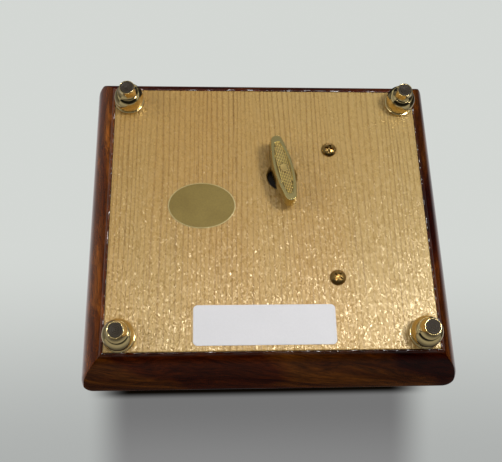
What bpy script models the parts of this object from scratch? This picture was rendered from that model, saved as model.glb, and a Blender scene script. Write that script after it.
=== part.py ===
"""Small musical box: a flaring veneered case on four turned feet, a hinged lid and a wind-up movement.

Metres, +Z up. The box stands on its feet with its lid on top. The origin lies on the surface it stands on,
under the middle of the box. +Y is the front, and the lid's hinges are at the rear, -Y. Left and right are as
seen from the front, so +X is the left.
"""
import math

import bmesh
import bpy
from mathutils import Matrix, Vector

# Driving dimensions of the case
PLATE_WIDTH = 0.104
PLATE_DEPTH = 0.092
PLATE_THICKNESS = 0.004
RIM_WIDTH = 0.0006
FLARE_REACH = 0.0086
FLARE_RISE = 0.0176
CASE_HEIGHT = 0.031
LEDGE_WIDTH = 0.0025
CORNER_RADIUS = 0.0026
SIDE_LEAN = math.radians(9.5)

# Driving dimensions of the lid
LID_HEIGHT = 0.014
LID_BOARD_THICKNESS = 0.005
LID_EDGE_RADIUS = 0.0036
LID_LINING_THICKNESS = 0.0016
BORDER_INSET = 0.0125
BORDER_WIDTH = 0.0016
INLAY_DEPTH = 0.0008
MEDALLION_LENGTH = 0.040
MEDALLION_WIDTH = 0.028

# Driving dimensions of the feet
FOOT_HEIGHT = 0.0095
FOOT_INSET_X = 0.0048
FOOT_INSET_Y = 0.0048
FOOT_FLANGE_RADIUS = 0.00505
FOOT_FLANGE_THICKNESS = 0.0009
FOOT_BULB_RADIUS = 0.0049
FOOT_BULB_HEIGHT = 0.0054
FOOT_COLLAR_BASE_RADIUS = 0.0034
FOOT_COLLAR_RADIUS = 0.0027
FOOT_COLLAR_HEIGHT = 0.0028
FOOT_PAD_RADIUS = 0.0024
FOOT_PAD_THICKNESS = 0.0010
FOOT_STUD_RADIUS = 0.0011
FOOT_STUD_LENGTH = 0.0034

# Driving dimensions of the winding key and its hole
KEY_X = 0.0046
KEY_Y = -0.0129
KEY_TURN = math.radians(-11.3)
KEY_LENGTH = 0.0240
KEY_WIDTH = 0.0065
KEY_END_WIDTH = 0.0040
KEY_THICKNESS = 0.0043
KEY_DROP = 0.0070
KEY_BORDER = 0.0011
KEY_FIELD_DEPTH = 0.0004
KEY_BOSS_RADIUS = 0.0028
KEY_HOLE_RADIUS = 0.0051
KEY_HOLE_BEVEL = 0.0004

# Driving dimensions of what is stuck or screwed to the underside
MOVEMENT_SCREW_X = 0.0212
MOVEMENT_SCREW_SPACING = 0.0457
SCREW_HEAD_RADIUS = 0.00255
SCREW_HEAD_HEIGHT = 0.0015
SCREW_SHANK_RADIUS = 0.0014
SCREW_LENGTH = 0.0075
STICKER_X = -0.0222
STICKER_Y = -0.0022
STICKER_LENGTH = 0.0222
STICKER_WIDTH = 0.0162
LABEL_X = -0.0026
LABEL_Y = 0.0379
LABEL_LENGTH = 0.04445
LABEL_WIDTH = 0.0127
LABEL_CORNER_RADIUS = 0.0014
PAPER_THICKNESS = 0.00012

# Driving dimensions of the movement
BEDPLATE_WIDTH = 0.0425
BEDPLATE_DEPTH = 0.0525
BEDPLATE_X = 0.0092
BEDPLATE_THICKNESS = 0.0018
BOSS_RADIUS = 0.0026
BOSS_HEIGHT = 0.0034
DRUM_RADIUS = 0.0114
DRUM_WALL = 0.0008
ARBOR_RADIUS = 0.0020
ARBOR_END_RADIUS = 0.0011
SPRING_STRIP = 0.00035
SPRING_PITCH = 0.00095
SPRING_TURNS = 6.0
CROWN_TEETH = 40
CROWN_FACE = 0.0020
CROWN_THICKNESS = 0.0014
RATCHET_TEETH = 12
RATCHET_RADIUS = 0.0045
RATCHET_THICKNESS = 0.0010
PINION_TEETH = 10
CYLINDER_AXIS_RISE = 0.0083
CYLINDER_RADIUS = 0.0065
CYLINDER_LENGTH = 0.0180
CYLINDER_ARBOR_RADIUS = 0.00075
PIN_HEIGHT = 0.0006
PIN_WIDTH = 0.00036
PINS_PER_NOTE = 4
NOTE_COUNT = 18
NOTE_PITCH = 0.00096
BRACKET_THICKNESS = 0.0012
BRACKET_WIDTH = 0.0060
GEAR_THICKNESS = 0.0012
GEAR_TEETH = 36
GEAR_MODULE = 0.0004
GOVERNOR_PINION_TEETH = 12
GOVERNOR_ANGLE = math.radians(35.0)
GOVERNOR_ARBOR_RADIUS = 0.0006
WORM_WHEEL_TEETH = 24
WORM_WHEEL_MODULE = 0.00035
WORM_WHEEL_THICKNESS = 0.0010
WORM_STARTS = 4
WORM_RADIUS = 0.0015
WORM_CORE_RADIUS = 0.00085
WORM_LENGTH = 0.0044
WORM_SHAFT_RADIUS = 0.0004
FAN_RADIUS = 0.0040
FAN_HEIGHT = 0.0062
FAN_BLADE = 0.0004
COMB_THICKNESS = 0.0007
COMB_HEEL_THICKNESS = 0.0018
COMB_HEEL_WIDTH = 0.0060
COMB_LONGEST_TOOTH = 0.0120
COMB_SHORTEST_TOOTH = 0.0085
COMB_SLOT = 0.00024
COMB_SCREW_HEAD_RADIUS = 0.0016
COMB_SCREW_RADIUS = 0.0009
STOP_ROD_RADIUS = 0.0005
STOP_ROD_REACH = 0.0070

# Driving dimensions of the inside of the case
DIVIDER_THICKNESS = 0.0025
RIGHT_DIVIDER_X = -0.0160
LEFT_DIVIDER_X = 0.0335
COVER_THICKNESS = 0.0015
COVER_DROP = 0.0020
TRAY_WALL = 0.0010

# Driving dimensions of the hinges
HINGE_X = 0.030
HINGE_LENGTH = 0.016
HINGE_BARREL_RADIUS = 0.0013
HINGE_PIN_RADIUS = 0.0005
HINGE_LEAF_WIDTH = 0.0062
HINGE_LEAF_THICKNESS = 0.0007
LID_OPENING = math.radians(105.0)

# Clearances
SEAM_GAP = 0.0003
SEAT_GAP = 0.0002
FINE_GAP = 0.0001
GLUE_GAP = 0.00005
RUNNING_GAP = 0.0001
SWEEP_GAP = 0.0004
BACKLASH = 0.00016

# Height and depth of every gear tooth, as shares of its module, and the slope of its sides
TOOTH_TIP = 0.7
TOOTH_ROOT = 1.05
TOOTH_SLOPE = math.tan(math.radians(20))

# Facets
ROUND_STEPS = 24
SMALL_STEPS = 12
ARC_STEPS = 8

# Places worked out from the driving dimensions
UNDERSIDE = FOOT_HEIGHT
PLATE_TOP = UNDERSIDE + PLATE_THICKNESS
SEAM = UNDERSIDE + CASE_HEIGHT
BOX_TOP = SEAM + LID_HEIGHT
BOARD_BOTTOM = BOX_TOP - LID_BOARD_THICKNESS
LINING_BOTTOM = BOARD_BOTTOM - FINE_GAP - LID_LINING_THICKNESS
HALF_WIDTH = PLATE_WIDTH / 2
HALF_DEPTH = PLATE_DEPTH / 2
INNER_HALF_WIDTH = HALF_WIDTH - LEDGE_WIDTH
INNER_HALF_DEPTH = HALF_DEPTH - LEDGE_WIDTH

BED_BOTTOM = PLATE_TOP + SEAT_GAP
BED_TOP = BED_BOTTOM + BEDPLATE_THICKNESS
BED_RIGHT = BEDPLATE_X - BEDPLATE_WIDTH / 2
CYLINDER_X = KEY_X
CYLINDER_Z = BED_TOP + CYLINDER_AXIS_RISE
CROWN_INNER = DRUM_RADIUS + SWEEP_GAP
CROWN_OUTER = CROWN_INNER + CROWN_FACE
CROWN_MEAN = (CROWN_INNER + CROWN_OUTER) / 2
CROWN_MODULE = 2 * CROWN_MEAN / CROWN_TEETH
PINION_RADIUS = CROWN_MODULE * PINION_TEETH / 2
CROWN_TIP = CYLINDER_Z + PINION_RADIUS - TOOTH_TIP * CROWN_MODULE
CROWN_ROOT = CYLINDER_Z + PINION_RADIUS + TOOTH_ROOT * CROWN_MODULE
CROWN_TOP = CROWN_ROOT + CROWN_THICKNESS
DRUM_BOTTOM = BED_TOP + FINE_GAP
DRUM_TOP = CROWN_ROOT - CROWN_THICKNESS
PINION_START = KEY_Y + CROWN_INNER + FINE_GAP
PINION_END = KEY_Y + CROWN_OUTER - FINE_GAP
REAR_BEARING_START = KEY_Y + CROWN_OUTER + SWEEP_GAP
REAR_BEARING_END = REAR_BEARING_START + BRACKET_THICKNESS
CYLINDER_START = REAR_BEARING_END + SWEEP_GAP
CYLINDER_END = CYLINDER_START + CYLINDER_LENGTH
GEAR_START = CYLINDER_END + SWEEP_GAP
GEAR_END = GEAR_START + GEAR_THICKNESS
WHEEL_START = GEAR_END + SWEEP_GAP
WHEEL_END = WHEEL_START + WORM_WHEEL_THICKNESS
FRONT_BEARING_START = WHEEL_END + SWEEP_GAP
FRONT_BEARING_END = FRONT_BEARING_START + BRACKET_THICKNESS
GEAR_RADIUS = GEAR_MODULE * GEAR_TEETH / 2
GOVERNOR_PINION_RADIUS = GEAR_MODULE * GOVERNOR_PINION_TEETH / 2
GOVERNOR_DISTANCE = GEAR_RADIUS + GOVERNOR_PINION_RADIUS
GOVERNOR_X = CYLINDER_X - GOVERNOR_DISTANCE * math.cos(GOVERNOR_ANGLE)
GOVERNOR_Z = CYLINDER_Z + GOVERNOR_DISTANCE * math.sin(GOVERNOR_ANGLE)
WORM_WHEEL_RADIUS = WORM_WHEEL_MODULE * WORM_WHEEL_TEETH / 2
WORM_LEAD = WORM_STARTS * math.pi * WORM_WHEEL_MODULE
WORM_X = GOVERNOR_X - WORM_WHEEL_RADIUS - WORM_RADIUS
WORM_Y = (WHEEL_START + WHEEL_END) / 2
GOVERNOR_FRAME_END = WORM_Y - FAN_RADIUS - SWEEP_GAP
GOVERNOR_FRAME_START = GOVERNOR_FRAME_END - BRACKET_THICKNESS
GOVERNOR_ARM_BOTTOM = GOVERNOR_Z + WORM_LENGTH / 2 + SWEEP_GAP
GOVERNOR_ARM_TOP = GOVERNOR_ARM_BOTTOM + BRACKET_THICKNESS
FAN_BOTTOM = BED_TOP + BRACKET_THICKNESS + 2 * SWEEP_GAP
FAN_TOP = FAN_BOTTOM + FAN_HEIGHT
STOP_ROD_Y = WORM_Y + STOP_ROD_REACH
COMB_TIP_X = CYLINDER_X + CYLINDER_RADIUS + PIN_HEIGHT + SWEEP_GAP
COMB_HEEL_X = COMB_TIP_X + COMB_LONGEST_TOOTH
COMB_BOTTOM = CYLINDER_Z - COMB_THICKNESS / 2
COMB_TOP = COMB_BOTTOM + COMB_THICKNESS
COMB_HEEL_TOP = COMB_BOTTOM + COMB_HEEL_THICKNESS
COMB_WIDTH = NOTE_COUNT * NOTE_PITCH
COMB_START = (CYLINDER_START + CYLINDER_END - COMB_WIDTH) / 2
COMB_SCREW_X = COMB_HEEL_X + COMB_HEEL_WIDTH / 2
COVER_TOP = SEAM - COVER_DROP
COVER_BOTTOM = COVER_TOP - COVER_THICKNESS
DIVIDER_TOP = COVER_BOTTOM - SEAT_GAP
FOOT_X = HALF_WIDTH - FOOT_INSET_X
FOOT_Y = HALF_DEPTH - FOOT_INSET_Y
KEY_BOTTOM = UNDERSIDE - KEY_DROP
KEY_TOP = KEY_BOTTOM + KEY_THICKNESS
FOOT_PLACES = {
    "rear_right": (-FOOT_X, -FOOT_Y),
    "rear_left": (FOOT_X, -FOOT_Y),
    "front_right": (-FOOT_X, FOOT_Y),
    "front_left": (FOOT_X, FOOT_Y),
}
SCREW_PLACES = {
    "rear": (MOVEMENT_SCREW_X, -MOVEMENT_SCREW_SPACING / 2),
    "front": (MOVEMENT_SCREW_X, MOVEMENT_SCREW_SPACING / 2),
}


# Making and finishing objects

def clear_scene():
    for obj in list(bpy.data.objects):
        bpy.data.objects.remove(obj, do_unlink=True)


def make_material(name, color, roughness, metallic=0.0, alpha=1.0):
    material = bpy.data.materials.new(name)
    material.use_nodes = True
    shader = material.node_tree.nodes["Principled BSDF"]
    shader.inputs["Base Color"].default_value = (*color, 1.0)
    shader.inputs["Roughness"].default_value = roughness
    shader.inputs["Metallic"].default_value = metallic
    shader.inputs["Alpha"].default_value = alpha
    return material


def make_object(name, mesh, color, roughness, metallic=0.0, smooth=True, alpha=1.0):
    """One named object with its own material."""
    if smooth:
        mesh.shade_smooth()
        mesh.set_sharp_from_angle(angle=math.radians(35))
    obj = bpy.data.objects.new(name, mesh)
    bpy.context.scene.collection.objects.link(obj)
    mesh.materials.append(make_material(name + "_finish", color, roughness, metallic, alpha))
    return obj


def make_cutter(name, mesh):
    """A hidden guide solid that another object's Boolean uses."""
    obj = bpy.data.objects.new(name, mesh)
    bpy.context.scene.collection.objects.link(obj)
    obj.hide_render = True
    obj.display_type = "WIRE"
    return obj


def combine(obj, cutter, operation):
    """Add a Boolean with the given hidden solid."""
    boolean = obj.modifiers.new(cutter.name, "BOOLEAN")
    boolean.operation = operation
    boolean.solver = "EXACT"
    boolean.object = cutter
    return boolean


def cut(obj, cutter):
    return combine(obj, cutter, "DIFFERENCE")


def join(obj, cutter):
    return combine(obj, cutter, "UNION")


def empty(name, location):
    marker = bpy.data.objects.new(name, None)
    bpy.context.scene.collection.objects.link(marker)
    marker.location = location
    return marker


def hang_on(parent, children):
    """Parent objects to a joint's empty, and keep them where they are."""
    for child in children:
        child.parent = parent
        child.matrix_parent_inverse = Matrix.Translation(parent.location).inverted()


# Basic solids

def to_mesh(name, bm):
    bmesh.ops.recalc_face_normals(bm, faces=bm.faces)
    mesh = bpy.data.meshes.new(name)
    bm.to_mesh(mesh)
    bm.free()
    return mesh


def box_mesh(name, low, high):
    bm = bmesh.new()
    bmesh.ops.create_cube(bm, size=1.0)
    low = Vector(low)
    high = Vector(high)
    for vert in bm.verts:
        vert.co = Vector(((vert.co.x + 0.5), (vert.co.y + 0.5), (vert.co.z + 0.5))) * (high - low) + low
    return to_mesh(name, bm)


def loft_mesh(name, rings, close_ends=True, close_loop=False):
    """A skin over rings of equally many points, with both end rings filled, or the last joined to the first."""
    bm = bmesh.new()
    rows = [[bm.verts.new(point) for point in ring] for ring in rings]
    count = len(rows[0])
    pairs = list(zip(rows, rows[1:]))
    if close_loop:
        pairs.append((rows[-1], rows[0]))
    for lower, upper in pairs:
        for i in range(count):
            j = (i + 1) % count
            bm.faces.new((lower[i], lower[j], upper[j], upper[i]))
    if close_ends and not close_loop:
        bm.faces.new(rows[0])
        bm.faces.new(rows[-1])
    return to_mesh(name, bm)


def prism_mesh(name, outline, start, end, axis="Z", twist=0.0):
    """An outline pushed from start to end along an axis; twist turns the end outline in its plane."""
    def placed(point, along):
        if axis == "Z":
            return (point[0], point[1], along)
        if axis == "Y":
            return (point[0], along, point[1])
        return (along, point[0], point[1])

    def turned(point):
        c, s = math.cos(twist), math.sin(twist)
        return (point[0] * c - point[1] * s, point[0] * s + point[1] * c)

    first = [placed(point, start) for point in outline]
    last = [placed(turned(point), end) for point in outline]
    return loft_mesh(name, [first, last])


def circle(radius, steps, x=0.0, y=0.0, phase=0.0):
    return [(x + radius * math.cos(phase + math.tau * i / steps), y + radius * math.sin(phase + math.tau * i / steps))
            for i in range(steps)]


def rod_mesh(name, radius, start, end, center, axis="Z", steps=SMALL_STEPS):
    """A round rod along an axis; center holds its other two coordinates in X, Y, Z order."""
    return prism_mesh(name, circle(radius, steps, center[0], center[1]), start, end, axis)


def lathe_mesh(name, profile, steps=ROUND_STEPS, x=0.0, y=0.0):
    """A turned solid about a vertical line. A profile that starts and ends on the axis is closed by it."""
    bm = bmesh.new()
    on_axis = profile[0][0] == 0.0 and profile[-1][0] == 0.0
    rows = []
    for radius, z in profile:
        if radius == 0.0:
            rows.append([bm.verts.new((x, y, z))])
        else:
            rows.append([bm.verts.new((px, py, z)) for px, py in circle(radius, steps, x, y)])
    pairs = list(zip(rows, rows[1:]))
    if not on_axis:
        pairs.append((rows[-1], rows[0]))
    for lower, upper in pairs:
        for i in range(steps):
            j = (i + 1) % steps
            corners = [lower[i % len(lower)], lower[j % len(lower)], upper[j % len(upper)], upper[i % len(upper)]]
            face = list(dict.fromkeys(corners))
            bm.faces.new(face)
    return to_mesh(name, bm)


def rounded_outline(half_x, half_y, radius, steps=4, x=0.0, y=0.0):
    """A rectangle with round corners, counter-clockwise."""
    points = []
    for quarter, (sx, sy) in enumerate(((1, 1), (-1, 1), (-1, -1), (1, -1))):
        for i in range(steps + 1):
            angle = math.radians(90 * quarter + 90 * i / steps)
            points.append((x + sx * (half_x - radius) + radius * math.cos(angle),
                           y + sy * (half_y - radius) + radius * math.sin(angle)))
    return points


def gear_outline(teeth, pitch_radius, phase=0.0):
    """Straight-flanked teeth; phase points at the middle of a tooth."""
    module = 2 * pitch_radius / teeth
    step = math.tau / teeth
    half = step / 4 - BACKLASH / (2 * pitch_radius)
    tip_radius = pitch_radius + TOOTH_TIP * module
    root_radius = pitch_radius - TOOTH_ROOT * module
    tip_half = half - TOOTH_TIP * module * TOOTH_SLOPE / pitch_radius
    root_half = half + TOOTH_ROOT * module * TOOTH_SLOPE / pitch_radius
    points = []
    for i in range(teeth):
        middle = phase + i * step
        for radius, angle in ((root_radius, -root_half), (tip_radius, -tip_half),
                              (tip_radius, tip_half), (root_radius, root_half)):
            points.append((radius * math.cos(middle + angle), radius * math.sin(middle + angle)))
    return points


# The case

def outset(height):
    """How far the outer face stands outside the base plate's edge at a height above the underside.

    It curves out to its widest line and round it, then leans in straight towards the lid.
    """
    reach = FLARE_REACH - RIM_WIDTH
    radius = (reach ** 2 + FLARE_RISE ** 2) / (2 * reach)
    if height <= FLARE_RISE + radius * math.sin(SIDE_LEAN):
        return FLARE_REACH - radius + math.sqrt(radius ** 2 - (FLARE_RISE - height) ** 2)
    return FLARE_REACH - math.tan(SIDE_LEAN) * (height - FLARE_RISE - radius * math.tan(SIDE_LEAN / 2))


def outer_curve(start, end, steps):
    """Outset and height points of the outer face between two heights above the underside."""
    heights = [start + (end - start) * i / steps for i in range(steps + 1)]
    return [(outset(height), height) for height in heights]


def case_profile():
    """Cross-section of a case wall: outset from the plate's edge, and height above the underside."""
    flare = outer_curve(0.0, FLARE_RISE, ARC_STEPS)
    upper = outer_curve(FLARE_RISE, CASE_HEIGHT, 4)
    ledge = PLATE_THICKNESS + SEAT_GAP
    return [(FINE_GAP, 0.0)] + flare + upper[1:] + [
        (-LEDGE_WIDTH, CASE_HEIGHT), (-LEDGE_WIDTH, ledge), (FINE_GAP, ledge)]


def lid_profile():
    """Cross-section of a lid wall, under the lid board."""
    bottom = CASE_HEIGHT + SEAM_GAP
    top = CASE_HEIGHT + LID_HEIGHT - LID_BOARD_THICKNESS - FINE_GAP
    return outer_curve(bottom, top, 3) + [(-LEDGE_WIDTH, top), (-LEDGE_WIDTH, bottom)]


def mitred_wall(name, profile, side, color):
    """A wall of the given cross-section with 45 degree ends; side is rear, front, right or left."""
    along_half, across_half = (HALF_WIDTH, HALF_DEPTH) if side in ("rear", "front") else (HALF_DEPTH, HALF_WIDTH)
    sign = 1 if side in ("front", "left") else -1
    ends = []
    for direction in (-1, 1):
        ring = []
        for out, height in profile:
            along = direction * (along_half + out - FINE_GAP)
            across = sign * (across_half + out)
            place = (along, across) if side in ("rear", "front") else (across, along)
            ring.append((place[0], place[1], UNDERSIDE + height))
        ends.append(ring)
    wall = make_object(name, loft_mesh(name, ends), color, 0.12)
    combine(wall, corner_guide(name), "INTERSECT")
    return wall


def corner_guide(name):
    """The block with rounded corners that trims the mitres; it follows the side in where that leans."""
    heights = [-SEAT_GAP, FLARE_RISE] + [FLARE_RISE + (CASE_HEIGHT + LID_HEIGHT - FLARE_RISE) * i / 4 for i in (1, 2, 3, 4)]
    rings = []
    for height in heights:
        margin = outset(max(height, FLARE_RISE)) + FINE_GAP
        outline = rounded_outline(HALF_WIDTH + margin, HALF_DEPTH + margin, CORNER_RADIUS + FINE_GAP, 5)
        rings.append([(x, y, UNDERSIDE + height) for x, y in outline])
    return make_cutter(name + "_corner_guide", loft_mesh(name + "_corner_guide", rings))


def build_case():
    walnut = (0.115, 0.038, 0.014)
    walls = {}
    for side in ("rear", "front", "right", "left"):
        walls[side] = mitred_wall("case_wall_" + side, case_profile(), side, walnut)
    plate = make_object(
        "base_plate",
        box_mesh("base_plate", (-HALF_WIDTH, -HALF_DEPTH, UNDERSIDE), (HALF_WIDTH, HALF_DEPTH, PLATE_TOP)),
        (0.72, 0.52, 0.28), 0.3)
    below = UNDERSIDE - SEAT_GAP
    above = PLATE_TOP + SEAT_GAP
    key_hole = lathe_mesh("key_hole_cutter", [
        (0.0, below), (KEY_HOLE_RADIUS + KEY_HOLE_BEVEL + SEAT_GAP, below),
        (KEY_HOLE_RADIUS, UNDERSIDE + KEY_HOLE_BEVEL), (KEY_HOLE_RADIUS, above), (0.0, above)],
        ROUND_STEPS, KEY_X, KEY_Y)
    cut(plate, make_cutter("key_hole_cutter", key_hole))
    for place, center in SCREW_PLACES.items():
        name = f"screw_hole_{place}_cutter"
        hole = rod_mesh(name, SCREW_SHANK_RADIUS + SEAT_GAP, below, above, center)
        cut(plate, make_cutter(name, hole))
    for place, center in FOOT_PLACES.items():
        name = f"foot_hole_{place}_cutter"
        cut(plate, make_cutter(name, rod_mesh(name, FOOT_STUD_RADIUS + SEAT_GAP, below, above, center)))
    return walls


def foot_profile():
    """Radius and height of the turned foot, from its end on the table up to its stud."""
    collar_end = FOOT_PAD_THICKNESS * 0.12
    collar_top = collar_end + FOOT_COLLAR_HEIGHT
    flange_top = FOOT_HEIGHT - FINE_GAP
    flange_bottom = flange_top - FOOT_FLANGE_THICKNESS
    bulb_bottom = flange_bottom - FOOT_BULB_HEIGHT
    socket_radius = FOOT_PAD_RADIUS + FINE_GAP
    socket_top = FOOT_PAD_THICKNESS + FINE_GAP
    points = [(0.0, socket_top), (socket_radius, socket_top), (socket_radius, collar_end),
              (FOOT_COLLAR_RADIUS - FINE_GAP, collar_end), (FOOT_COLLAR_RADIUS, collar_end + FINE_GAP)]
    for i in range(1, 5):
        widening = (FOOT_COLLAR_BASE_RADIUS - FOOT_COLLAR_RADIUS) * (i / 4) ** 2
        points.append((FOOT_COLLAR_RADIUS + widening, collar_end + FOOT_COLLAR_HEIGHT * i / 4))
    points.append((FOOT_COLLAR_BASE_RADIUS - 2 * FINE_GAP, collar_top + FINE_GAP))
    low = math.radians(-46)
    high = math.radians(22)
    for i in range(9):
        angle = low + (high - low) * i / 8
        rise = (math.sin(angle) - math.sin(low)) / (math.sin(high) - math.sin(low))
        points.append((FOOT_BULB_RADIUS * math.cos(angle), bulb_bottom + FOOT_BULB_HEIGHT * rise))
    points += [(FOOT_FLANGE_RADIUS - FINE_GAP, flange_bottom), (FOOT_FLANGE_RADIUS, flange_bottom + FINE_GAP),
               (FOOT_FLANGE_RADIUS, flange_top), (FOOT_STUD_RADIUS, flange_top),
               (FOOT_STUD_RADIUS, flange_top + FOOT_STUD_LENGTH), (0.0, flange_top + FOOT_STUD_LENGTH)]
    return points


def build_feet():
    for place, (x, y) in FOOT_PLACES.items():
        make_object("foot_" + place, lathe_mesh("foot_" + place, foot_profile(), 16, x, y),
                    (0.75, 0.53, 0.17), 0.16, 1.0)
        pad = [(0.0, 0.0), (FOOT_PAD_RADIUS, 0.0), (FOOT_PAD_RADIUS, FOOT_PAD_THICKNESS), (0.0, FOOT_PAD_THICKNESS)]
        make_object("foot_pad_" + place, lathe_mesh("foot_pad_" + place, pad, 16, x, y), (0.06, 0.05, 0.04), 0.6)


def build_underside_fittings():
    """Screws, sticker and label on the underside."""
    head_top = UNDERSIDE - FINE_GAP
    head_low = head_top - SCREW_HEAD_HEIGHT
    for place, (x, y) in SCREW_PLACES.items():
        profile = [(0.0, head_low), (SCREW_HEAD_RADIUS * 0.55, head_low + SCREW_HEAD_HEIGHT * 0.08),
                   (SCREW_HEAD_RADIUS * 0.88, head_low + SCREW_HEAD_HEIGHT * 0.38),
                   (SCREW_HEAD_RADIUS, head_low + SCREW_HEAD_HEIGHT * 0.8), (SCREW_HEAD_RADIUS, head_top),
                   (SCREW_SHANK_RADIUS, head_top), (SCREW_SHANK_RADIUS, head_top + SCREW_LENGTH),
                   (0.0, head_top + SCREW_LENGTH)]
        name = "movement_screw_" + place
        screw = make_object(name, lathe_mesh(name, profile, 16, x, y), (0.35, 0.22, 0.07), 0.3, 1.0)
        for i, turn in enumerate((45, 135)):
            slot_name = f"{name}_slot_{i}"
            reach = SCREW_HEAD_RADIUS * 0.6
            slot = make_cutter(slot_name, box_mesh(slot_name, (-reach, -reach * 0.18, -SCREW_HEAD_HEIGHT),
                                                   (reach, reach * 0.18, SCREW_HEAD_HEIGHT * 0.55)))
            slot.location = (x, y, head_low)
            slot.rotation_euler.z = math.radians(turn)
            cut(screw, slot)
    paper_top = UNDERSIDE - GLUE_GAP
    paper_bottom = paper_top - PAPER_THICKNESS
    oval = [(STICKER_X + STICKER_LENGTH / 2 * math.cos(math.tau * i / 32),
             STICKER_Y + STICKER_WIDTH / 2 * math.sin(math.tau * i / 32)) for i in range(32)]
    make_object("oval_sticker", prism_mesh("oval_sticker", oval, paper_bottom, paper_top), (0.42, 0.36, 0.13), 0.4)
    label = rounded_outline(LABEL_LENGTH / 2, LABEL_WIDTH / 2, LABEL_CORNER_RADIUS, 4, LABEL_X, LABEL_Y)
    make_object("paper_label", prism_mesh("paper_label", label, paper_bottom, paper_top), (0.85, 0.83, 0.86), 0.6)


# The winding key and what turns with it

def key_outline(length, width, end_width):
    """A slender bar along Y, widest in the middle, with round ends."""
    round_radius = end_width / 2
    straight = length / 2 - round_radius
    points = []
    for sign in (1, -1):
        for i in range(7):
            share = 1 - i / 3
            half = round_radius + (width / 2 - round_radius) * (1 - share ** 2)
            points.append((-sign * half, sign * share * straight))
        for i in range(1, 4):
            angle = math.pi * i / 4
            points.append((-sign * round_radius * math.cos(angle),
                           -sign * (straight + round_radius * math.sin(angle))))
    return points


def build_winding():
    """Key, arbor, crown wheel and ratchet, which turn together as the box plays."""
    bar = key_outline(KEY_LENGTH, KEY_WIDTH, KEY_END_WIDTH)
    key = make_object("winding_key", prism_mesh("winding_key", bar, KEY_BOTTOM, KEY_TOP), (0.72, 0.56, 0.22), 0.25, 1.0)
    key.location = (KEY_X, KEY_Y, 0.0)
    key.rotation_euler.z = KEY_TURN
    field = key_outline(KEY_LENGTH - 5 * KEY_BORDER, KEY_WIDTH - 2 * KEY_BORDER, KEY_END_WIDTH - 2 * KEY_BORDER)
    field_cutter = make_cutter("key_field_cutter", prism_mesh(
        "key_field_cutter", field, KEY_BOTTOM - KEY_FIELD_DEPTH, KEY_BOTTOM + KEY_FIELD_DEPTH))
    field_cutter.location = key.location
    field_cutter.rotation_euler = key.rotation_euler
    boss = make_cutter("key_boss", rod_mesh(
        "key_boss", KEY_BOSS_RADIUS, KEY_TOP - FINE_GAP, UNDERSIDE, (KEY_X, KEY_Y), "Z", 16))
    join(key, boss)
    cut(key, field_cutter)
    cut(key, make_cutter("key_bore_cutter", rod_mesh(
        "key_bore_cutter", ARBOR_END_RADIUS + FINE_GAP, 0.0, PLATE_TOP, (KEY_X, KEY_Y))))

    arbor_low = KEY_BOTTOM + KEY_FIELD_DEPTH * 0.5
    ratchet_bottom = CROWN_TOP + FINE_GAP
    ratchet_top = ratchet_bottom + RATCHET_THICKNESS
    arbor = [(0.0, arbor_low), (ARBOR_END_RADIUS, arbor_low), (ARBOR_END_RADIUS, UNDERSIDE + FINE_GAP),
             (ARBOR_RADIUS, UNDERSIDE + FINE_GAP), (ARBOR_RADIUS, ratchet_top + RATCHET_THICKNESS),
             (0.0, ratchet_top + RATCHET_THICKNESS)]
    arbor_obj = make_object("winding_arbor", lathe_mesh("winding_arbor", arbor, 16, KEY_X, KEY_Y),
                            (0.55, 0.55, 0.56), 0.3, 1.0)

    crown = crown_wheel()
    ratchet_outline = []
    for i in range(RATCHET_TEETH):
        start = math.tau * i / RATCHET_TEETH
        ratchet_outline.append((RATCHET_RADIUS * 0.78 * math.cos(start), RATCHET_RADIUS * 0.78 * math.sin(start)))
        ratchet_outline.append((RATCHET_RADIUS * math.cos(start), RATCHET_RADIUS * math.sin(start)))
    ratchet = make_object("ratchet_wheel", prism_mesh("ratchet_wheel", ratchet_outline, ratchet_bottom, ratchet_top),
                          (0.72, 0.56, 0.22), 0.3, 1.0, smooth=False)
    ratchet.location = (KEY_X, KEY_Y, 0.0)
    cut(ratchet, make_cutter("ratchet_bore_cutter", rod_mesh(
        "ratchet_bore_cutter", ARBOR_RADIUS + FINE_GAP, CROWN_TOP, BOX_TOP, (KEY_X, KEY_Y), "Z", 16)))
    nose = RATCHET_RADIUS + FINE_GAP
    tail = CROWN_INNER - FINE_GAP
    click_outline = [(nose, -0.0002), (nose + 0.002, -0.0010), (tail, -0.0012), (tail, 0.0008), (nose + 0.002, 0.0006)]
    click = make_object("ratchet_click", prism_mesh("ratchet_click", click_outline, ratchet_bottom, ratchet_top),
                        (0.5, 0.5, 0.52), 0.3, 1.0, smooth=False)
    click.location = (KEY_X, KEY_Y, 0.0)

    axis = empty("key_axis", (KEY_X, KEY_Y, UNDERSIDE))
    hang_on(axis, [key, arbor_obj, crown, ratchet, click])


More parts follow.
